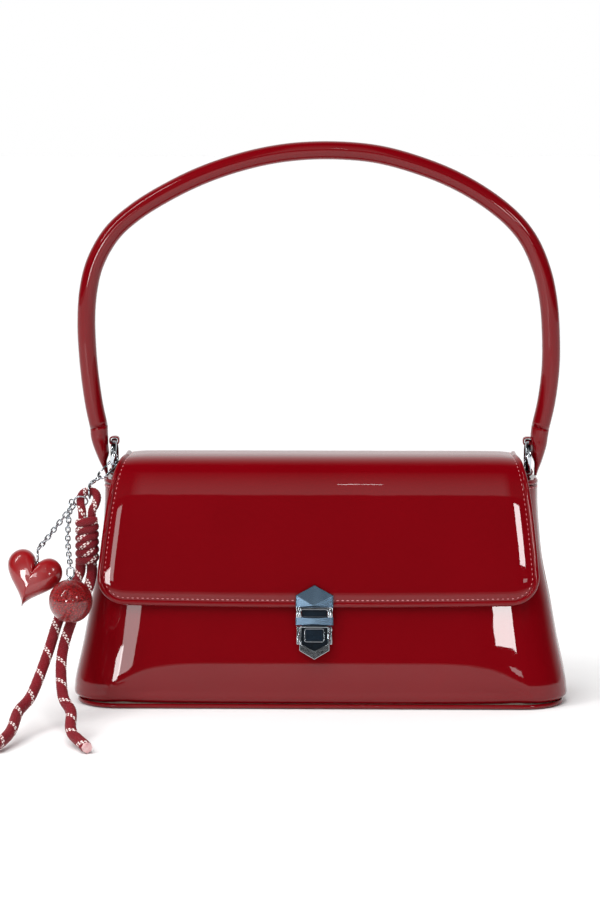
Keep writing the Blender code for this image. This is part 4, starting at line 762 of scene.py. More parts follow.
# Flap
# Patent leather outside and twill inside, sewn on behind the rim and folded over to the front,
# with a rolled edge all round and a line of stitches just inside the roll.
flap_width = 0.2401
flap_top_width = 0.2169
flap_lean = -0.0011
flap_crest = 0.1339
flap_edge_height = 0.0570
flap_back_radius = 0.0130
flap_front_radius = 0.0170
flap_slope = math.radians(9.8)
flap_standoff = 0.0026
flap_hinge_height = 0.1190
flap_hinge_standoff = 0.0024
flap_corner = 0.0150
flap_sag = 0.0016
flap_leather = 0.0014
flap_cloth = 0.0009
flap_roll = 0.0030
flap_crown = 0.0010
crown_reach = 0.0045
seam_foot = 0.0090
roll_step = 0.0012
first_softened = 23
hinge = Vector((0.0, body_at(rim_height)[1] + flap_hinge_standoff, flap_hinge_height))
up_front = Vector((math.sin(flap_slope), math.cos(flap_slope)))


def flap_section():
    """Points of the flap's middle surface in the YZ plane, from its sewn foot over the top to
    its lower edge, each with the outward direction."""
    bottom_depth = body_at(flap_edge_height)[1] + flap_standoff
    front_height = flap_crest - flap_front_radius * (1 - math.sin(flap_slope))
    front_depth = bottom_depth - (front_height - flap_edge_height) * math.tan(flap_slope)
    front_centre = Vector((
        flap_front_radius * math.cos(flap_slope) - front_depth, flap_crest - flap_front_radius))
    back_centre = Vector((hinge.y - flap_back_radius, flap_crest - flap_back_radius))
    section = []
    for step in range(6):
        share = 1 - step / 6
        wall = body_at(flap_hinge_height - seam_foot * share)[1] + flap_leather + flap_cloth / 2
        y = hinge.y + (wall - hinge.y) * min(1.0, share * 1.6)
        section.append((Vector((y, flap_hinge_height - seam_foot * share)), Vector((1.0, 0.0))))
    section.append((Vector((hinge.y, flap_hinge_height)), Vector((1.0, 0.0))))
    for centre, radius, start, sweep, steps in (
            (back_centre, flap_back_radius, 0.0, math.pi / 2, 12),
            (front_centre, flap_front_radius, math.pi / 2, math.pi / 2 - flap_slope, 16)):
        if centre is front_centre:
            flat_start, flat_end = section[-1][0], front_centre + Vector((0.0, flap_front_radius))
            section += [(flat_start.lerp(flat_end, share), Vector((0.0, 1.0))) for share in (0.25, 0.5, 0.75)]
        for step in range(steps + 1):
            turn = start + sweep * step / steps
            out = Vector((math.cos(turn), math.sin(turn)))
            section.append((centre + out * radius, out))
    start, out = section[-1]
    length = (start.y - flap_edge_height) / math.cos(flap_slope)
    section += [(start - up_front * length * (1 - (1 - step / 48) ** 1.8), out) for step in range(1, 49)]
    for _ in range(8):
        threes = zip(*[section[first_softened + step:] for step in (-1, 0, 1)])
        section[first_softened:-1] = [
            ((a[0] + b[0] + c[0]) / 3, (a[1] + b[1] + c[1]).normalized()) for a, b, c in threes]
    return section


def flap_rows(inset, lift, crown):
    """Grid of points on the flap, drawn in from its edge, lifted off its middle surface, and
    crowned away from the edge."""
    section = flap_section()
    crest = max(range(len(section)), key=lambda index: section[index][0].y)
    rows = []
    for index, (spot, out) in enumerate(section):
        on_front = index > crest
        side = flap_top_width / 2
        lean = 0.0
        to_edge = 1.0
        if on_front:
            fall = (flap_crest - spot.y) / (flap_crest - flap_edge_height - flap_corner)
            share = min(max(fall, 0.0), 1.0) ** 0.5
            side += (flap_width - flap_top_width) / 2 * share
            lean = flap_lean * share
            to_edge = (spot.y - flap_edge_height) / math.cos(flap_slope)
        half = side - inset
        if on_front and to_edge < flap_corner:
            share = 1 - to_edge / flap_corner
            spot = spot + up_front * inset * share
            reach = flap_corner - inset
            drop = min(reach * share, reach)
            half = flap_width / 2 - flap_corner + math.sqrt(max(reach ** 2 - drop ** 2, 0.0))
            to_edge = flap_corner - drop
        row = []
        for column in range(81):
            share = 1 - 2 * column / 80
            x = half * math.copysign(1 - (1 - abs(share)) ** 1.35, share)
            edge = min(side - abs(x), to_edge)
            beyond = abs(x) - (flap_width / 2 - flap_corner)
            if on_front and beyond > 0 and to_edge < flap_corner:
                edge = flap_corner - math.hypot(beyond, flap_corner - to_edge)
            rise = crown * (1 - math.exp(-max(edge - inset, 0.0) / crown_reach)) - crown * 0.75
            sag = flap_sag * (1 - (x / side) ** 2) * (((index - crest) / (len(section) - 1 - crest)) ** 2
                                                      if on_front else 0.0)
            point = spot + out * (lift + rise) - up_front * sag
            row.append(Vector((x + lean, point.x, point.y)))
        rows.append(row)
    return rows


def flap_border(inset, lift, crown):
    """The line round the flap's edge, from one end of the sewn foot to the other."""
    rows = flap_rows(inset, lift, crown)
    return [row[-1] for row in rows] + list(reversed(rows[-1][1:-1])) + [row[0] for row in reversed(rows)]


flap_outer = flap_roll / 2 - 0.0002
rows = flap_rows(flap_roll * 0.8, flap_outer, flap_crown)
panel = add_piece("flap_leather", grid_mesh(rows), patent, "flap", "flap_panel")
thicken(panel, flap_leather)
rows = flap_rows(flap_roll * 0.9, flap_outer - flap_leather - clearance, 0.0)
inside = add_piece("flap_twill", grid_mesh(rows), twill, "flap", "flap_lining")
thicken(inside, flap_cloth)
rolled = tube_mesh(even_path(flap_border(flap_roll / 2, 0.0, 0.0), roll_step), flap_roll / 2, 14)
roll = add_piece("flap_rolled_edge", rolled, patent, "flap", "flap_edge_roll")
seam_line = line_mesh(flap_border(flap_roll * 1.28, flap_outer + 0.00005, flap_crown))
stitches = add_piece("flap_stitches", grown_mesh(seam_line, stitching, stitch_values), thread, "flap")

# Each piece gets its thickness applied and its place baked into its mesh, and no longer rides on the flap's
# body
for piece in (panel, inside, roll, stitches):
    if piece.modifiers:
        piece.data = applied_mesh(piece)
        piece.modifiers.clear()
    piece.parent = None
    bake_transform(piece)


# Hasp
# A cast loop riveted to the flap's edge: a faceted plate like a gable, two ribbed rails round a
# window, and a creased bar below that snaps over the lock.
hasp_stand = (Vector((-0.0030, -0.03641, 0.0570)), flap_slope)
hasp_half_width = 0.0102
hasp_foot = -0.0016
hasp_shoulder = 0.0050
hasp_apex = 0.0107
hasp_back = 0.0018
hasp_plate = 0.0012
hasp_peak = 0.0009
ridge_side = -0.0008
hasp_rim = 0.0005
peak_up = 0.0010
ridge_inset = 0.0008
window_corner = 0.0009
window_half_width = 0.0071
window_high = -0.0028
window_low = -0.0064
bar_high = -0.0067
bar_low = -0.0112
rail_width = 0.0013
rail_places = (0.0097, 0.0085)
rail_edge = 0.0004
cast_edge = 0.00018


def face_matrix(stand, out):
    """The matrix that stands a drawing on a leaning face: x aside, y up the face, z outwards."""
    place, slope = stand
    up = Vector((0.0, math.sin(slope), math.cos(slope)))
    outwards = Vector((0.0, -math.cos(slope), math.sin(slope)))
    matrix = Matrix((Vector((1.0, 0.0, 0.0)), up, outwards)).transposed().to_4x4()
    matrix.translation = place + outwards * out
    return matrix


def cast_slab(outlines, back, front, stand, edge=cast_edge):
    """A flat casting with softened edges, drawn by its outlines on a leaning face."""
    curve = bpy.data.curves.new("casting", "CURVE")
    curve.dimensions = "2D"
    curve.fill_mode = "BOTH"
    curve.extrude = (front - back) / 2 - edge
    curve.bevel_depth = edge
    curve.bevel_resolution = 2
    curve.offset = -edge
    for outline in outlines:
        spline = curve.splines.new("POLY")
        spline.points.add(len(outline) - 1)
        for point, (x, z) in zip(spline.points, outline):
            point.co = (x, z, 0.0, 1.0)
        spline.use_cyclic_u = True
    holder = bpy.data.objects.new("casting", curve)
    drawn = bpy.data.meshes.new_from_object(holder)
    bpy.data.objects.remove(holder)
    drawn.transform(face_matrix(stand, (front + back) / 2))
    builder = bmesh.new()
    builder.from_mesh(drawn)
    bmesh.ops.remove_doubles(builder, verts=builder.verts, dist=0.000001)
    mesh = built_mesh(builder)
    mesh.set_sharp_from_angle(angle=math.radians(38))
    outwards = face_matrix(stand, 0.0).to_3x3().col[2]
    for polygon in mesh.polygons:
        polygon.use_smooth = abs(polygon.normal.dot(outwards)) < 0.995
    return mesh


def facet_mesh(outline, peaks, faces):
    """A faceted casting on the hasp's face: an upright edge, a narrow flat rim and facets that
    rise to its peaks."""
    builder = bmesh.new()
    middle = Vector((sum(x for x, _ in outline), sum(z for _, z in outline))) / len(outline)
    rings = []
    for inset, out in ((0.0, hasp_back), (0.0, hasp_front - hasp_rim / 2), (hasp_rim / 2, hasp_front),
                       (hasp_rim, hasp_front)):
        ring = []
        for x, z in outline:
            share = 1 - inset / max(abs(x - middle.x), abs(z - middle.y), 0.001)
            ring.append(builder.verts.new((
                middle.x + (x - middle.x) * share, middle.y + (z - middle.y) * share, out)))
        rings.append(ring)
    for low, high in zip(rings, rings[1:]):
        join_rows(builder, low, high, True)
    builder.faces.new(list(reversed(rings[0])))
    tops = [builder.verts.new((x, z, hasp_front + hasp_peak)) for x, z in peaks]
    for face in faces:
        builder.faces.new([rings[-1][corner] if corner >= 0 else tops[-corner - 1] for corner in face])
    mesh = built_mesh(builder)
    mesh.shade_flat()
    mesh.transform(face_matrix(hasp_stand, 0.0))
    return mesh


def joined_mesh(*meshes):
    """Several castings as one mesh."""
    builder = bmesh.new()
    for part in meshes:
        builder.from_mesh(part)
    mesh = bpy.data.meshes.new("joined")
    builder.to_mesh(mesh)
    builder.free()
    return mesh


def rectangle(left, right, low, high):
    """A rectangle's corners, anticlockwise."""
    return [(left, low), (right, low), (right, high), (left, high)]


def rounded_box(half_width, low, high, corner, steps=6):
    """A rectangle on the lock's middle line with round corners, anticlockwise."""
    outline = [(half_width, (low + high) / 2)]
    for quarter, (right, up) in enumerate(((1, 1), (-1, 1), (-1, -1), (1, -1))):
        x = right * (half_width - corner)
        z = high - corner if up > 0 else low + corner
        for step in range(steps + 1):
            turn = math.pi / 2 * (quarter + step / steps)
            outline.append((x + corner * math.cos(turn), z + corner * math.sin(turn)))
    return outline


# Satin chrome: the cast facets are bead-blasted before plating, so they glow blue-grey
satin_chrome, tree, shader = new_material("satin_chrome_zinc")
matt = add_node(tree, "ShaderNodeMapRange", None, {
    "Value": noise_at(tree, 900.0, 3.0), "To Min": 0.22, "To Max": 0.28})
set_inputs(shader, {"Base Color": mixed(tree, noise_at(tree, 160.0, 1.0), "50657A", "6C8396"),
                    "Roughness": matt.outputs[0], "Metallic": 1.0})

hasp_front = hasp_back + hasp_plate
gable = [(hasp_half_width, hasp_foot), (hasp_half_width, hasp_shoulder), (0.0, hasp_apex),
         (-hasp_half_width, hasp_shoulder), (-hasp_half_width, hasp_foot)]
gable_mesh = facet_mesh(gable, [(ridge_side, hasp_foot + peak_up)],
                        [(0, 1, -1), (1, 2, -1), (2, 3, -1), (3, 4, -1), (4, 0, -1)])
bar_mesh = facet_mesh(rectangle(-hasp_half_width, hasp_half_width, bar_low, bar_high),
                      [(0.0, bar_low + ridge_inset), (0.0, bar_high - ridge_inset)],
                      [(0, 1, -1), (1, 2, -2, -1), (2, 3, -2), (3, 0, -1, -2)])
add_piece("hasp_facets", joined_mesh(gable_mesh, bar_mesh), satin_chrome, "flap", "hasp_plate")
window = rounded_box(window_half_width, window_low, window_high, window_corner)
loop_half_width = hasp_half_width - 0.0003
loop_outline = rectangle(-loop_half_width, loop_half_width, bar_low + 0.0005, hasp_foot + 0.0005)
rails = [cast_slab([loop_outline, window], hasp_back, hasp_back + hasp_plate * 0.6, hasp_stand)]
for side in (-1, 1):
    for outer in rail_places:
        left, right = sorted((side * outer, side * (outer - rail_width)))
        rails.append(cast_slab([rectangle(left, right, bar_high - 0.0003, hasp_foot + 0.0003)],
                               hasp_back + hasp_plate * 0.5, hasp_front + 0.0002, hasp_stand, rail_edge))
add_piece("hasp_rails", joined_mesh(*rails), chrome, "flap")
dress_nodes(chrome, "hasp_backplate", "hasp_rivet_left", "hasp_rivet_right")


# Lock
# A cast case screwed through the front panel: a tongue behind the hasp's window, a recess with
# the button, side flanges, and a pointed band below with fine ribs.
lock_slope = math.asin(0.19425)
lock_stand = (Vector((-0.0030, -0.03622, 0.0451)), lock_slope)
case_half_width = 0.0081
case_back = 0.0003
case_front = 0.0050
case_edge = 0.00022
recess_half_width = 0.0072
recess_top = -0.0008
band_shoulder = -0.0099
band_point = -0.0137
case_shoulder = -0.0133
case_point = -0.0181
flange_sides = (0.0083, 0.0096)
flange_edge = 0.0003
rib_pitch = 0.00075
rib_size = (0.00032, 0.0019, 0.00036)
enamel_front = 0.0018
tongue_front = 0.0033
tongue_box = (0.0069, -0.0006, 0.0095, 0.0008)
button_box = (0.0054, -0.0087, -0.0013, 0.0012)
button_face_box = (0.0050, -0.0083, -0.0017, 0.0009)
button_back = 0.0022
button_front = 0.0055
button_rim_stand = 0.0001
button_rim_edge = 0.00012

# Black enamel: stoved on and polished, so that it mirrors like dark glass
enamel, tree, shader = new_material("stoved_black_enamel")
set_inputs(shader, {"Base Color": mixed(tree, noise_at(tree, 130.0), "06090E", "132635"), "Roughness": 0.16,
                    "Coat Weight": 0.6, "Coat Roughness": 0.05})

# Fine ribs across the band: one flat rib at each point of a line, square to it
ribbing, given = new_tree("band_ribs", Float=("Rib pitch",), Vector=("Rib size", "Outwards"))
points, aim = aimed_points(ribbing, given, "Rib pitch")
rib = add_node(ribbing, "GeometryNodeMeshCube", None, {"Size": given["Rib size"]})
stood = add_node(ribbing, "FunctionNodeAlignRotationToVector", {"axis": "Z", "pivot_axis": "X"}, {
    "Rotation": aim, "Vector": given["Outwards"]})
end_tree(ribbing, given, copies_on(ribbing, points, rib.outputs["Mesh"], stood.outputs[0]), smooth=False)


def pointed_plate(half_width, high, shoulder, point):
    """An outline on the lock's middle line that ends in a point below."""
    return [(half_width, high), (-half_width, high), (-half_width, shoulder), (0.0, point),
            (half_width, shoulder)]


case_outline = pointed_plate(case_half_width, -case_back, case_shoulder, case_point)
recess = pointed_plate(recess_half_width, recess_top, band_shoulder, band_point)
castings = [cast_slab([case_outline, recess], case_back, case_front, lock_stand, case_edge)]
for side in (-1, 1):
    left, right = sorted(side * edge for edge in flange_sides)
    flange = rectangle(left, right, band_shoulder, -case_back)
    castings.append(cast_slab([flange], case_back, case_front * 0.66, lock_stand, flange_edge))
face = face_matrix(lock_stand, case_front)
for side in (-1, 1):
    start = face @ Vector((side * (case_half_width - rib_pitch), (case_shoulder + band_shoulder) / 2, 0.0))
    end = face @ Vector((side * rib_pitch * 0.4, (case_point + band_point) / 2, 0.0))
    castings.append(grown_mesh(line_mesh([start, end]), ribbing, {
        "Rib pitch": rib_pitch, "Rib size": rib_size,
        "Outwards": (0.0, -math.cos(lock_slope), math.sin(lock_slope)), "Material": chrome}))
add_piece("lock_casting", joined_mesh(*castings), chrome, "root", "lock_case")
floor_slab = cast_slab([[(x * 1.03, z) for x, z in recess]], case_back, enamel_front, lock_stand)
tongue = cast_slab([rounded_box(*tongue_box)], case_back, tongue_front, lock_stand)
add_piece("lock_enamel", joined_mesh(floor_slab, tongue), enamel, "root")
dress_nodes(chrome, "lock_backplate", "lock_screw_left", "lock_screw_right")

# The button slides down in the recess: an enamel face in a thin polished rim
button_face = rounded_box(*button_face_box)
face_slab = cast_slab([button_face], button_back, button_front, lock_stand)
rim_slab = cast_slab([rounded_box(*button_box), button_face], button_back, button_front + button_rim_stand,
                     lock_stand, button_rim_edge)
add_piece("button_enamel", face_slab, enamel, "button", "lock_button")
add_piece("button_rim", rim_slab, chrome, "button")


# Clasp
# A sprung clasp of bent chrome wire hooked over the left ring, with a straight gate in one side
# and a swivel below that ends in a round eye for the cord.
clasp_place = Vector((-0.11405, -0.00761, 0.13045))
clasp_along = Vector((-0.67343, -0.31635, -0.66814))
clasp_across = Vector((-0.64545, 0.69224, 0.32280))
clasp_wire = 0.0013
clasp_half = 0.00275
clasp_top = 0.0028
clasp_length = 0.0112
gate_start = 0.0032
gate_length = 0.0044
gate_wire = 0.0010
gate_shares = ((0.0, 0.5), (0.03, 0.85), (0.1, 1.0), (0.9, 1.0), (0.97, 0.85), (1.0, 0.5))
swivel_radius = 0.0011
swivel_shares = ((0.0, 0.3), (0.04, 0.8), (0.12, 1.0), (0.42, 1.0), (0.46, 0.72), (0.54, 0.72), (0.58, 1.0),
                 (0.86, 1.0), (0.95, 0.75), (1.0, 0.4))
eye_centre = Vector((-0.1268, -0.0136, 0.1157))
eye_radius = 0.0040


def clasp_spot(down, side):
    """A point in the clasp's own plane: down from the ring and sideways."""
    return clasp_place + clasp_along * down + clasp_across * side


hook = [clasp_spot(gate_start + gate_length + gate_wire / 2 + clearance, clasp_half)]
for way, bend in ((1, clasp_length - clasp_half), (-1, clasp_half - clasp_top)):
    hook += [clasp_spot(bend + way * clasp_half * math.sin(math.pi * step / 16),
                        way * clasp_half * math.cos(math.pi * step / 16)) for step in range(17)]
hook.append(clasp_spot(gate_start - gate_wire / 2 - clearance, clasp_half))
foot = clasp_spot(clasp_length, 0.0)
towards = foot - eye_centre
towards.x = 0.0
eye_top = eye_centre + towards.normalized() * eye_radius
swivel_top = foot + (foot - eye_top).normalized() * clasp_wire
swivel = tube_mesh([swivel_top.lerp(eye_top, share) for share, _ in swivel_shares], swivel_radius, 20,
                   sizes=[size for _, size in swivel_shares])
eye = [eye_centre + Vector((0.0, sine, cosine)) * eye_radius for cosine, sine in circle(40)]
add_piece("clasp_wirework", joined_mesh(tube_mesh(hook, clasp_wire / 2, 16), swivel,
                                        tube_mesh(eye, clasp_wire / 2, 14, closed=True)), chrome, "root",
          "charm_clasp")
gate = [clasp_spot(gate_start + gate_length * share, clasp_half) for share, _ in gate_shares]
gate_bar = tube_mesh(gate, gate_wire / 2, 14, sizes=[size for _, size in gate_shares])
add_piece("clasp_gate_bar", gate_bar, chrome, "gate", "clasp_gate")


# Charm chains
# Oval wire links hooked through each other, from a jump ring on the cord's loop down to an
# open ring on each charm.
link_pitch = 0.0029
link_width = 0.0031
link_wire = 0.0008
jump_radius = 0.0037
jump_wire = 0.0010
heart_route = ((-0.13510, -0.0190, 0.1087), (-0.14120, -0.0245, 0.1014), (-0.14750, -0.0325, 0.0934),
               (-0.15270, -0.0400, 0.0874))
ball_route = ((-0.13570, -0.0216, 0.1119), (-0.13660, -0.0270, 0.1057), (-0.13680, -0.0350, 0.0953),
              (-0.13560, -0.0440, 0.0872), (-0.13350, -0.0541, 0.0800))

# A link at each point of a line, each a quarter turn from the one before
links, given = new_tree("chain_links", Float=("Link length", "Link width", "Wire diameter"))
points, aim = aimed_points(links, given)
oval = add_node(links, "GeometryNodeCurvePrimitiveQuadrilateral", None, {
    "Width": given["Link length"], "Height": given["Link width"]})
rounded = add_node(links, "GeometryNodeFilletCurve", {"mode": "POLY"}, {
    "Curve": oval.outputs[0], "Count": 5, "Radius": maths(links, "MULTIPLY", given["Link width"], 0.49)})
wire = add_node(links, "GeometryNodeCurvePrimitiveCircle", None, {
    "Resolution": 8, "Radius": maths(links, "MULTIPLY", given["Wire diameter"], 0.5)})
link = add_node(links, "GeometryNodeCurveToMesh", None, {
    "Curve": rounded.outputs[0], "Profile Curve": wire.outputs[0]})
odd = maths(links, "MODULO", add_node(links, "GeometryNodeInputIndex").outputs[0], 2.0)
roll_by = add_node(links, "ShaderNodeCombineXYZ", None, {
    0: maths(links, "MULTIPLY_ADD", odd, math.pi / 2, 0.6)})
rolled = add_node(links, "FunctionNodeRotateRotation", {"rotation_space": "LOCAL"}, {
    "Rotation": aim, "Rotate By": roll_by.outputs[0]})
end_tree(links, given, copies_on(links, points, link.outputs[0], rolled.outputs[0]))


def oval_ring(low, high, normal, width, wire):
    """An oval ring of round wire that reaches from a low point to a high one."""
    along_it = (high - low).normalized()
    across_it = Vector(normal).cross(along_it).normalized()
    straight = max((high - low).length - width, 0.0) / 2
    points = []
    for cosine, sine in circle(48):
        shift = math.copysign(straight, cosine) if abs(cosine) > 1e-6 else 0.0
        points.append((low + high) / 2 + along_it * (shift + width / 2 * cosine)
                      + across_it * width / 2 * sine)
    return tube_mesh(points, wire / 2, 12, closed=True)


for word, route in (("heart", heart_route), ("ball", ball_route)):
    stops = even_path(smooth_path(route, 12), link_pitch)
    centres = [(start + end) / 2 for start, end in zip(stops, stops[1:])]
    add_piece(word + "_chain_links", grown_mesh(line_mesh(centres), links, {
        "Link length": (stops[1] - stops[0]).length + link_wire, "Link width": link_width - link_wire,
        "Wire diameter": link_wire, "Material": chrome}), chrome, word, word + "_chain")
jump_low, jump_high = Vector(loop_route[2]), Vector(loop_route[3])
jump_way = (jump_high - jump_low).normalized()
jump_side = jump_way.orthogonal().normalized()
jump = [(jump_low + jump_high) / 2 + (jump_side * cosine + jump_way.cross(jump_side) * sine) * jump_radius
        for cosine, sine in circle(40)]
jump_mesh = tube_mesh(jump, jump_wire / 2, 12, closed=True)
add_piece("jump_ring_wire", jump_mesh, chrome, "charm", "charm_jump_ring")


# Heart charm
# A puffed heart cast in solid resin and lacquered, with a small eye in the notch between its
# lobes and an open ring through it.
heart_centre = Vector((-0.1562, -0.0420, 0.0709))
heart_width = 0.0304
heart_height = 0.0300
heart_thickness = 0.0140
heart_tilt = math.radians(19)
heart_nod = math.radians(-8)
heart_turn = math.radians(-3)
heart_waves = (0.448, -0.172, -0.069, -0.034)
heart_lift = 0.086
heart_puff = 3.64
heart_rings = 48
heart_columns = 96
eye_width = 0.0036
eye_wire = 0.0009

# Lacquered casting resin: deep clear red that is darker where it is thick
heart_resin, tree, shader = new_material("lacquered_casting_resin")
swirl = noise_at(tree, 60.0)
set_inputs(shader, {
    "Base Color": mixed(tree, swirl, "7E0006", "980009"), "Coat Normal": bumped(tree, swirl, 0.15, 0.0003),
    "Roughness": 0.35, "Coat Weight": 1.0, "Coat Roughness": 0.03, "Coat IOR": 1.52})

turned = (Matrix.Translation(heart_centre) @ Matrix.Rotation(heart_turn, 4, "Z")
          @ Matrix.Rotation(heart_nod, 4, "X") @ Matrix.Rotation(heart_tilt, 4, "Y"))
builder = bmesh.new()
rings = []
for level in range(1, heart_rings):
    turn = math.pi * (level / heart_rings - 0.5)
    grow = math.cos(turn)
    depth = math.copysign(math.sqrt(max(1 - grow ** heart_puff, 0.0)), turn) * heart_thickness / 2
    ring = []
    for step in range(heart_columns):
        t = math.tau * step / heart_columns
        z = heart_lift + sum(share * math.cos((wave + 1) * t) for wave, share in enumerate(heart_waves))
        ring.append(builder.verts.new(turned @ Vector((
            math.sin(t) ** 3 * heart_width / 2 * grow, depth, z * heart_height * grow))))
    rings.append(ring)
for low, high in zip(rings, rings[1:]):
    join_rows(builder, low, high, True)
for ring, depth in ((rings[0], -heart_thickness / 2), (rings[-1], heart_thickness / 2)):
    pole = builder.verts.new(turned @ Vector((0.0, depth, 0.0)))
    for step in range(heart_columns):
        builder.faces.new((ring[step], ring[(step + 1) % heart_columns], pole))
add_piece("heart_casting", built_mesh(builder), heart_resin, "heart", "heart_charm")
notch = turned @ Vector((0.0, 0.0, heart_height * 0.30))
ring_low = turned @ Vector((0.0, 0.0, heart_height * 0.34 + 0.0008))
ring_high = Vector(heart_route[-1])
along_ring = (ring_high - ring_low).normalized()
heart_eye = oval_ring(ring_low, ring_high - along_ring * 0.0004, along_ring.cross(Vector((0.0, 1.0, 0.0))),
                      eye_width, eye_wire)
stud = tube_mesh([notch, notch.lerp(ring_low, 0.7), ring_low + along_ring * 0.0004], 1.0, 12,
                 sizes=[0.0011, 0.0009, 0.0005])
add_piece("heart_ring_wire", joined_mesh(heart_eye, stud), chrome, "heart", "heart_eye_ring")


# Ball charm
# A clear resin ball with glitter cast into it, a small cap glued on its top, and an open ring
# through the cap.
ball_centre = Vector((-0.1335, -0.0556, 0.0620))
ball_radius = 0.01175
flake_size = 0.00042
cap_radius = 0.0017
cap_shares = ((-0.0006, 1.0), (0.0001, 1.0), (0.0004, 0.9), (0.0006, 0.5), (0.0012, 0.32), (0.0016, 0.3))
ball_ring_width = 0.0038
ball_ring_wire = 0.0009

# Glitter resin: foil flakes of about 0.4 mm, each lying at its own angle under a clear surface
glitter, tree, shader = new_material("glitter_filled_resin")
flakes = add_node(tree, "ShaderNodeTexVoronoi", {"feature": "F1"}, {
    "Vector": object_space(tree), "Scale": 1 / flake_size}).outputs["Color"]
shade = add_node(tree, "ShaderNodeSeparateColor", None, {0: flakes})
foil = add_node(tree, "ShaderNodeValToRGB", None, {0: shade.outputs[0]})
foil.color_ramp.elements[0].color = linear("560004")
foil.color_ramp.elements[1].color = linear("C80A12")
foil.color_ramp.elements.new(0.72).color = linear("800006")
lean_by = vectors(tree, "SCALE", vectors(tree, "SUBTRACT", flakes, (0.5, 0.5, 0.5)), 0.9)
surface = add_node(tree, "ShaderNodeNewGeometry").outputs["Normal"]
shine = add_node(tree, "ShaderNodeMapRange", None, {
    "Value": shade.outputs[1], "From Min": 0.55, "From Max": 0.95, "To Min": 0.0, "To Max": 0.9})
set_inputs(shader, {
    "Base Color": foil.outputs[0], "Metallic": shine.outputs[0], "Roughness": 0.32,
    "Normal": vectors(tree, "NORMALIZE", vectors(tree, "ADD", surface, lean_by)),
    "Coat Weight": 1.0, "Coat Roughness": 0.02, "Coat IOR": 1.52})

builder = bmesh.new()
bmesh.ops.create_uvsphere(builder, u_segments=64, v_segments=40, radius=ball_radius)
builder.transform(Matrix.Translation(ball_centre))
add_piece("ball_casting", built_mesh(builder, outwards=False), glitter, "ball", "ball_charm")
ball_top = ball_centre + Vector((0.0, 0.0, ball_radius))
cap = tube_mesh([ball_top + Vector((0.0, 0.0, height)) for height, _ in cap_shares], cap_radius, 20,
                sizes=[size for _, size in cap_shares])
ball_ring = oval_ring(ball_top + Vector((0.0, 0.0, 0.0009)), Vector(ball_route[-1]), (0.0, 1.0, 0.0),
                      ball_ring_width, ball_ring_wire)
add_piece("ball_ring_wire", joined_mesh(ball_ring, cap), chrome, "ball", "ball_ring")


# Floor, backdrop and lights
# A white table and plain studio light: one soft key for the shadows, softboxes beside the
# camera for the panes on the lacquer, tall windows for the metal and the handle, and a bright
# band low in the surroundings for the pale arch over the base.
middle = (0.0, 0.0, 0.08)
front_stops = ((0.026, 0.45), (0.034, 0.02), (0.243, 0.02), (0.255, 0.85), (0.86, 0.16), (0.93, 0.0))

floor_data = bpy.data.meshes.new("studio_floor")
floor_data.from_pydata([(-30, -30, 0), (30, -30, 0), (30, 30, 0), (-30, 30, 0)], [], [(0, 1, 2, 3)])
floor = bpy.data.objects.new("studio_floor", floor_data)
bpy.context.scene.collection.objects.link(floor)
paper, tree, shader = new_material("white_studio_paper")
set_inputs(shader, {"Base Color": mixed(tree, noise_at(tree, 40.0), "F6F6F6", "FAFAFA"), "Roughness": 0.9})
floor_data.materials.append(paper)
floor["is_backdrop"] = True

world = bpy.data.worlds.new("studio")
bpy.context.scene.world = world
world.use_nodes = True
tree = world.node_tree
direction = add_node(tree, "ShaderNodeTexCoord").outputs["Generated"]
right, back, up = add_node(tree, "ShaderNodeSeparateXYZ", None, {0: direction}).outputs
behind = add_node(tree, "ShaderNodeMapRange", {"interpolation_type": "SMOOTHSTEP"}, {
    "Value": back, "From Min": 0.02, "From Max": 0.75, "To Min": 0.0, "To Max": 0.85})
front = add_node(tree, "ShaderNodeValToRGB", None, {0: up})
for number, (height, light) in enumerate(front_stops):
    stop = front.color_ramp.elements[number] if number < 2 else front.color_ramp.elements.new(height)
    stop.position = height
    stop.color = (light, light, light, 1.0)
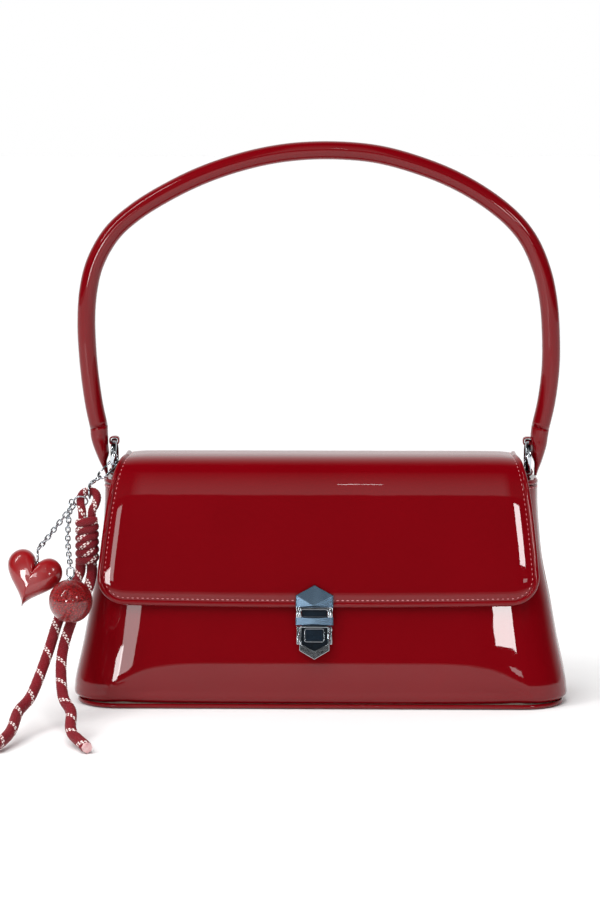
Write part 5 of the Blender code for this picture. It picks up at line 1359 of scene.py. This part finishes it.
centred = add_node(tree, "ShaderNodeMapRange", None, {
    "Value": maths(tree, "ABSOLUTE", right), "From Min": 0.09, "From Max": 0.14,
    "To Min": 1.0, "To Max": 0.12})
share = maths(tree, "MAXIMUM", centred.outputs[0], maths(tree, "LESS_THAN", up, 0.1))
shaped = maths(tree, "MULTIPLY", share, front.outputs[0])
fill = maths(tree, "MULTIPLY", maths(tree, "LESS_THAN", back, 0.0), shaped)
around = maths(tree, "ADD", fill, behind.outputs[0])
seen = add_node(tree, "ShaderNodeLightPath").outputs["Is Camera Ray"]
level = add_node(tree, "ShaderNodeMix", {"data_type": "FLOAT"}, {0: seen, 2: around, 3: 1.0})
set_inputs(tree.nodes["Background"], {"Color": (1.0, 1.0, 1.0, 1.0), "Strength": level.outputs[0]})


def add_light(name, kind, location, target, **settings):
    """A lamp at a place, turned towards a point."""
    lamp = bpy.data.lights.new(name, kind)
    for setting, value in settings.items():
        setattr(lamp, setting, value)
    holder = bpy.data.objects.new(name, lamp)
    holder.location = location
    holder.rotation_euler = (Vector(target) - Vector(location)).to_track_quat("-Z", "Y").to_euler()
    bpy.context.scene.collection.objects.link(holder)
    return holder


key = add_light("soft_key", "SUN", (-0.6, -0.8, 2.2), middle, energy=3.0, angle=math.radians(70))
key.visible_glossy = False
for name, place, width, height, energy in (
        ("left_softbox", (-0.784, -2.03, 0.345), 0.27, 0.29, 5.4),
        ("left_fill", (-0.6, -2.05, 0.46), 0.16, 0.25, 0.85),
        ("right_softbox", (0.495, -2.03, 0.52), 0.16, 0.10, 1.2),
        ("right_fill", (0.548, -2.05, 0.37), 0.14, 0.09, 0.2),
        ("left_window", (-1.03, -0.78, 1.15), 0.1, 0.9, 5.0),
        ("right_window", (0.85, -1.15, 0.8), 0.2, 0.25, 2.0),
        ("ceiling_lamp", (0.03, -1.9, 1.07), 0.06, 0.03, 0.12)):
    add_light(name, "AREA", place, middle, shape="RECTANGLE", size=width, size_y=height, energy=energy)

low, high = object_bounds()
{"cad": [list(cad_low), list(cad_high)], "visual": [list(low), list(high)]}
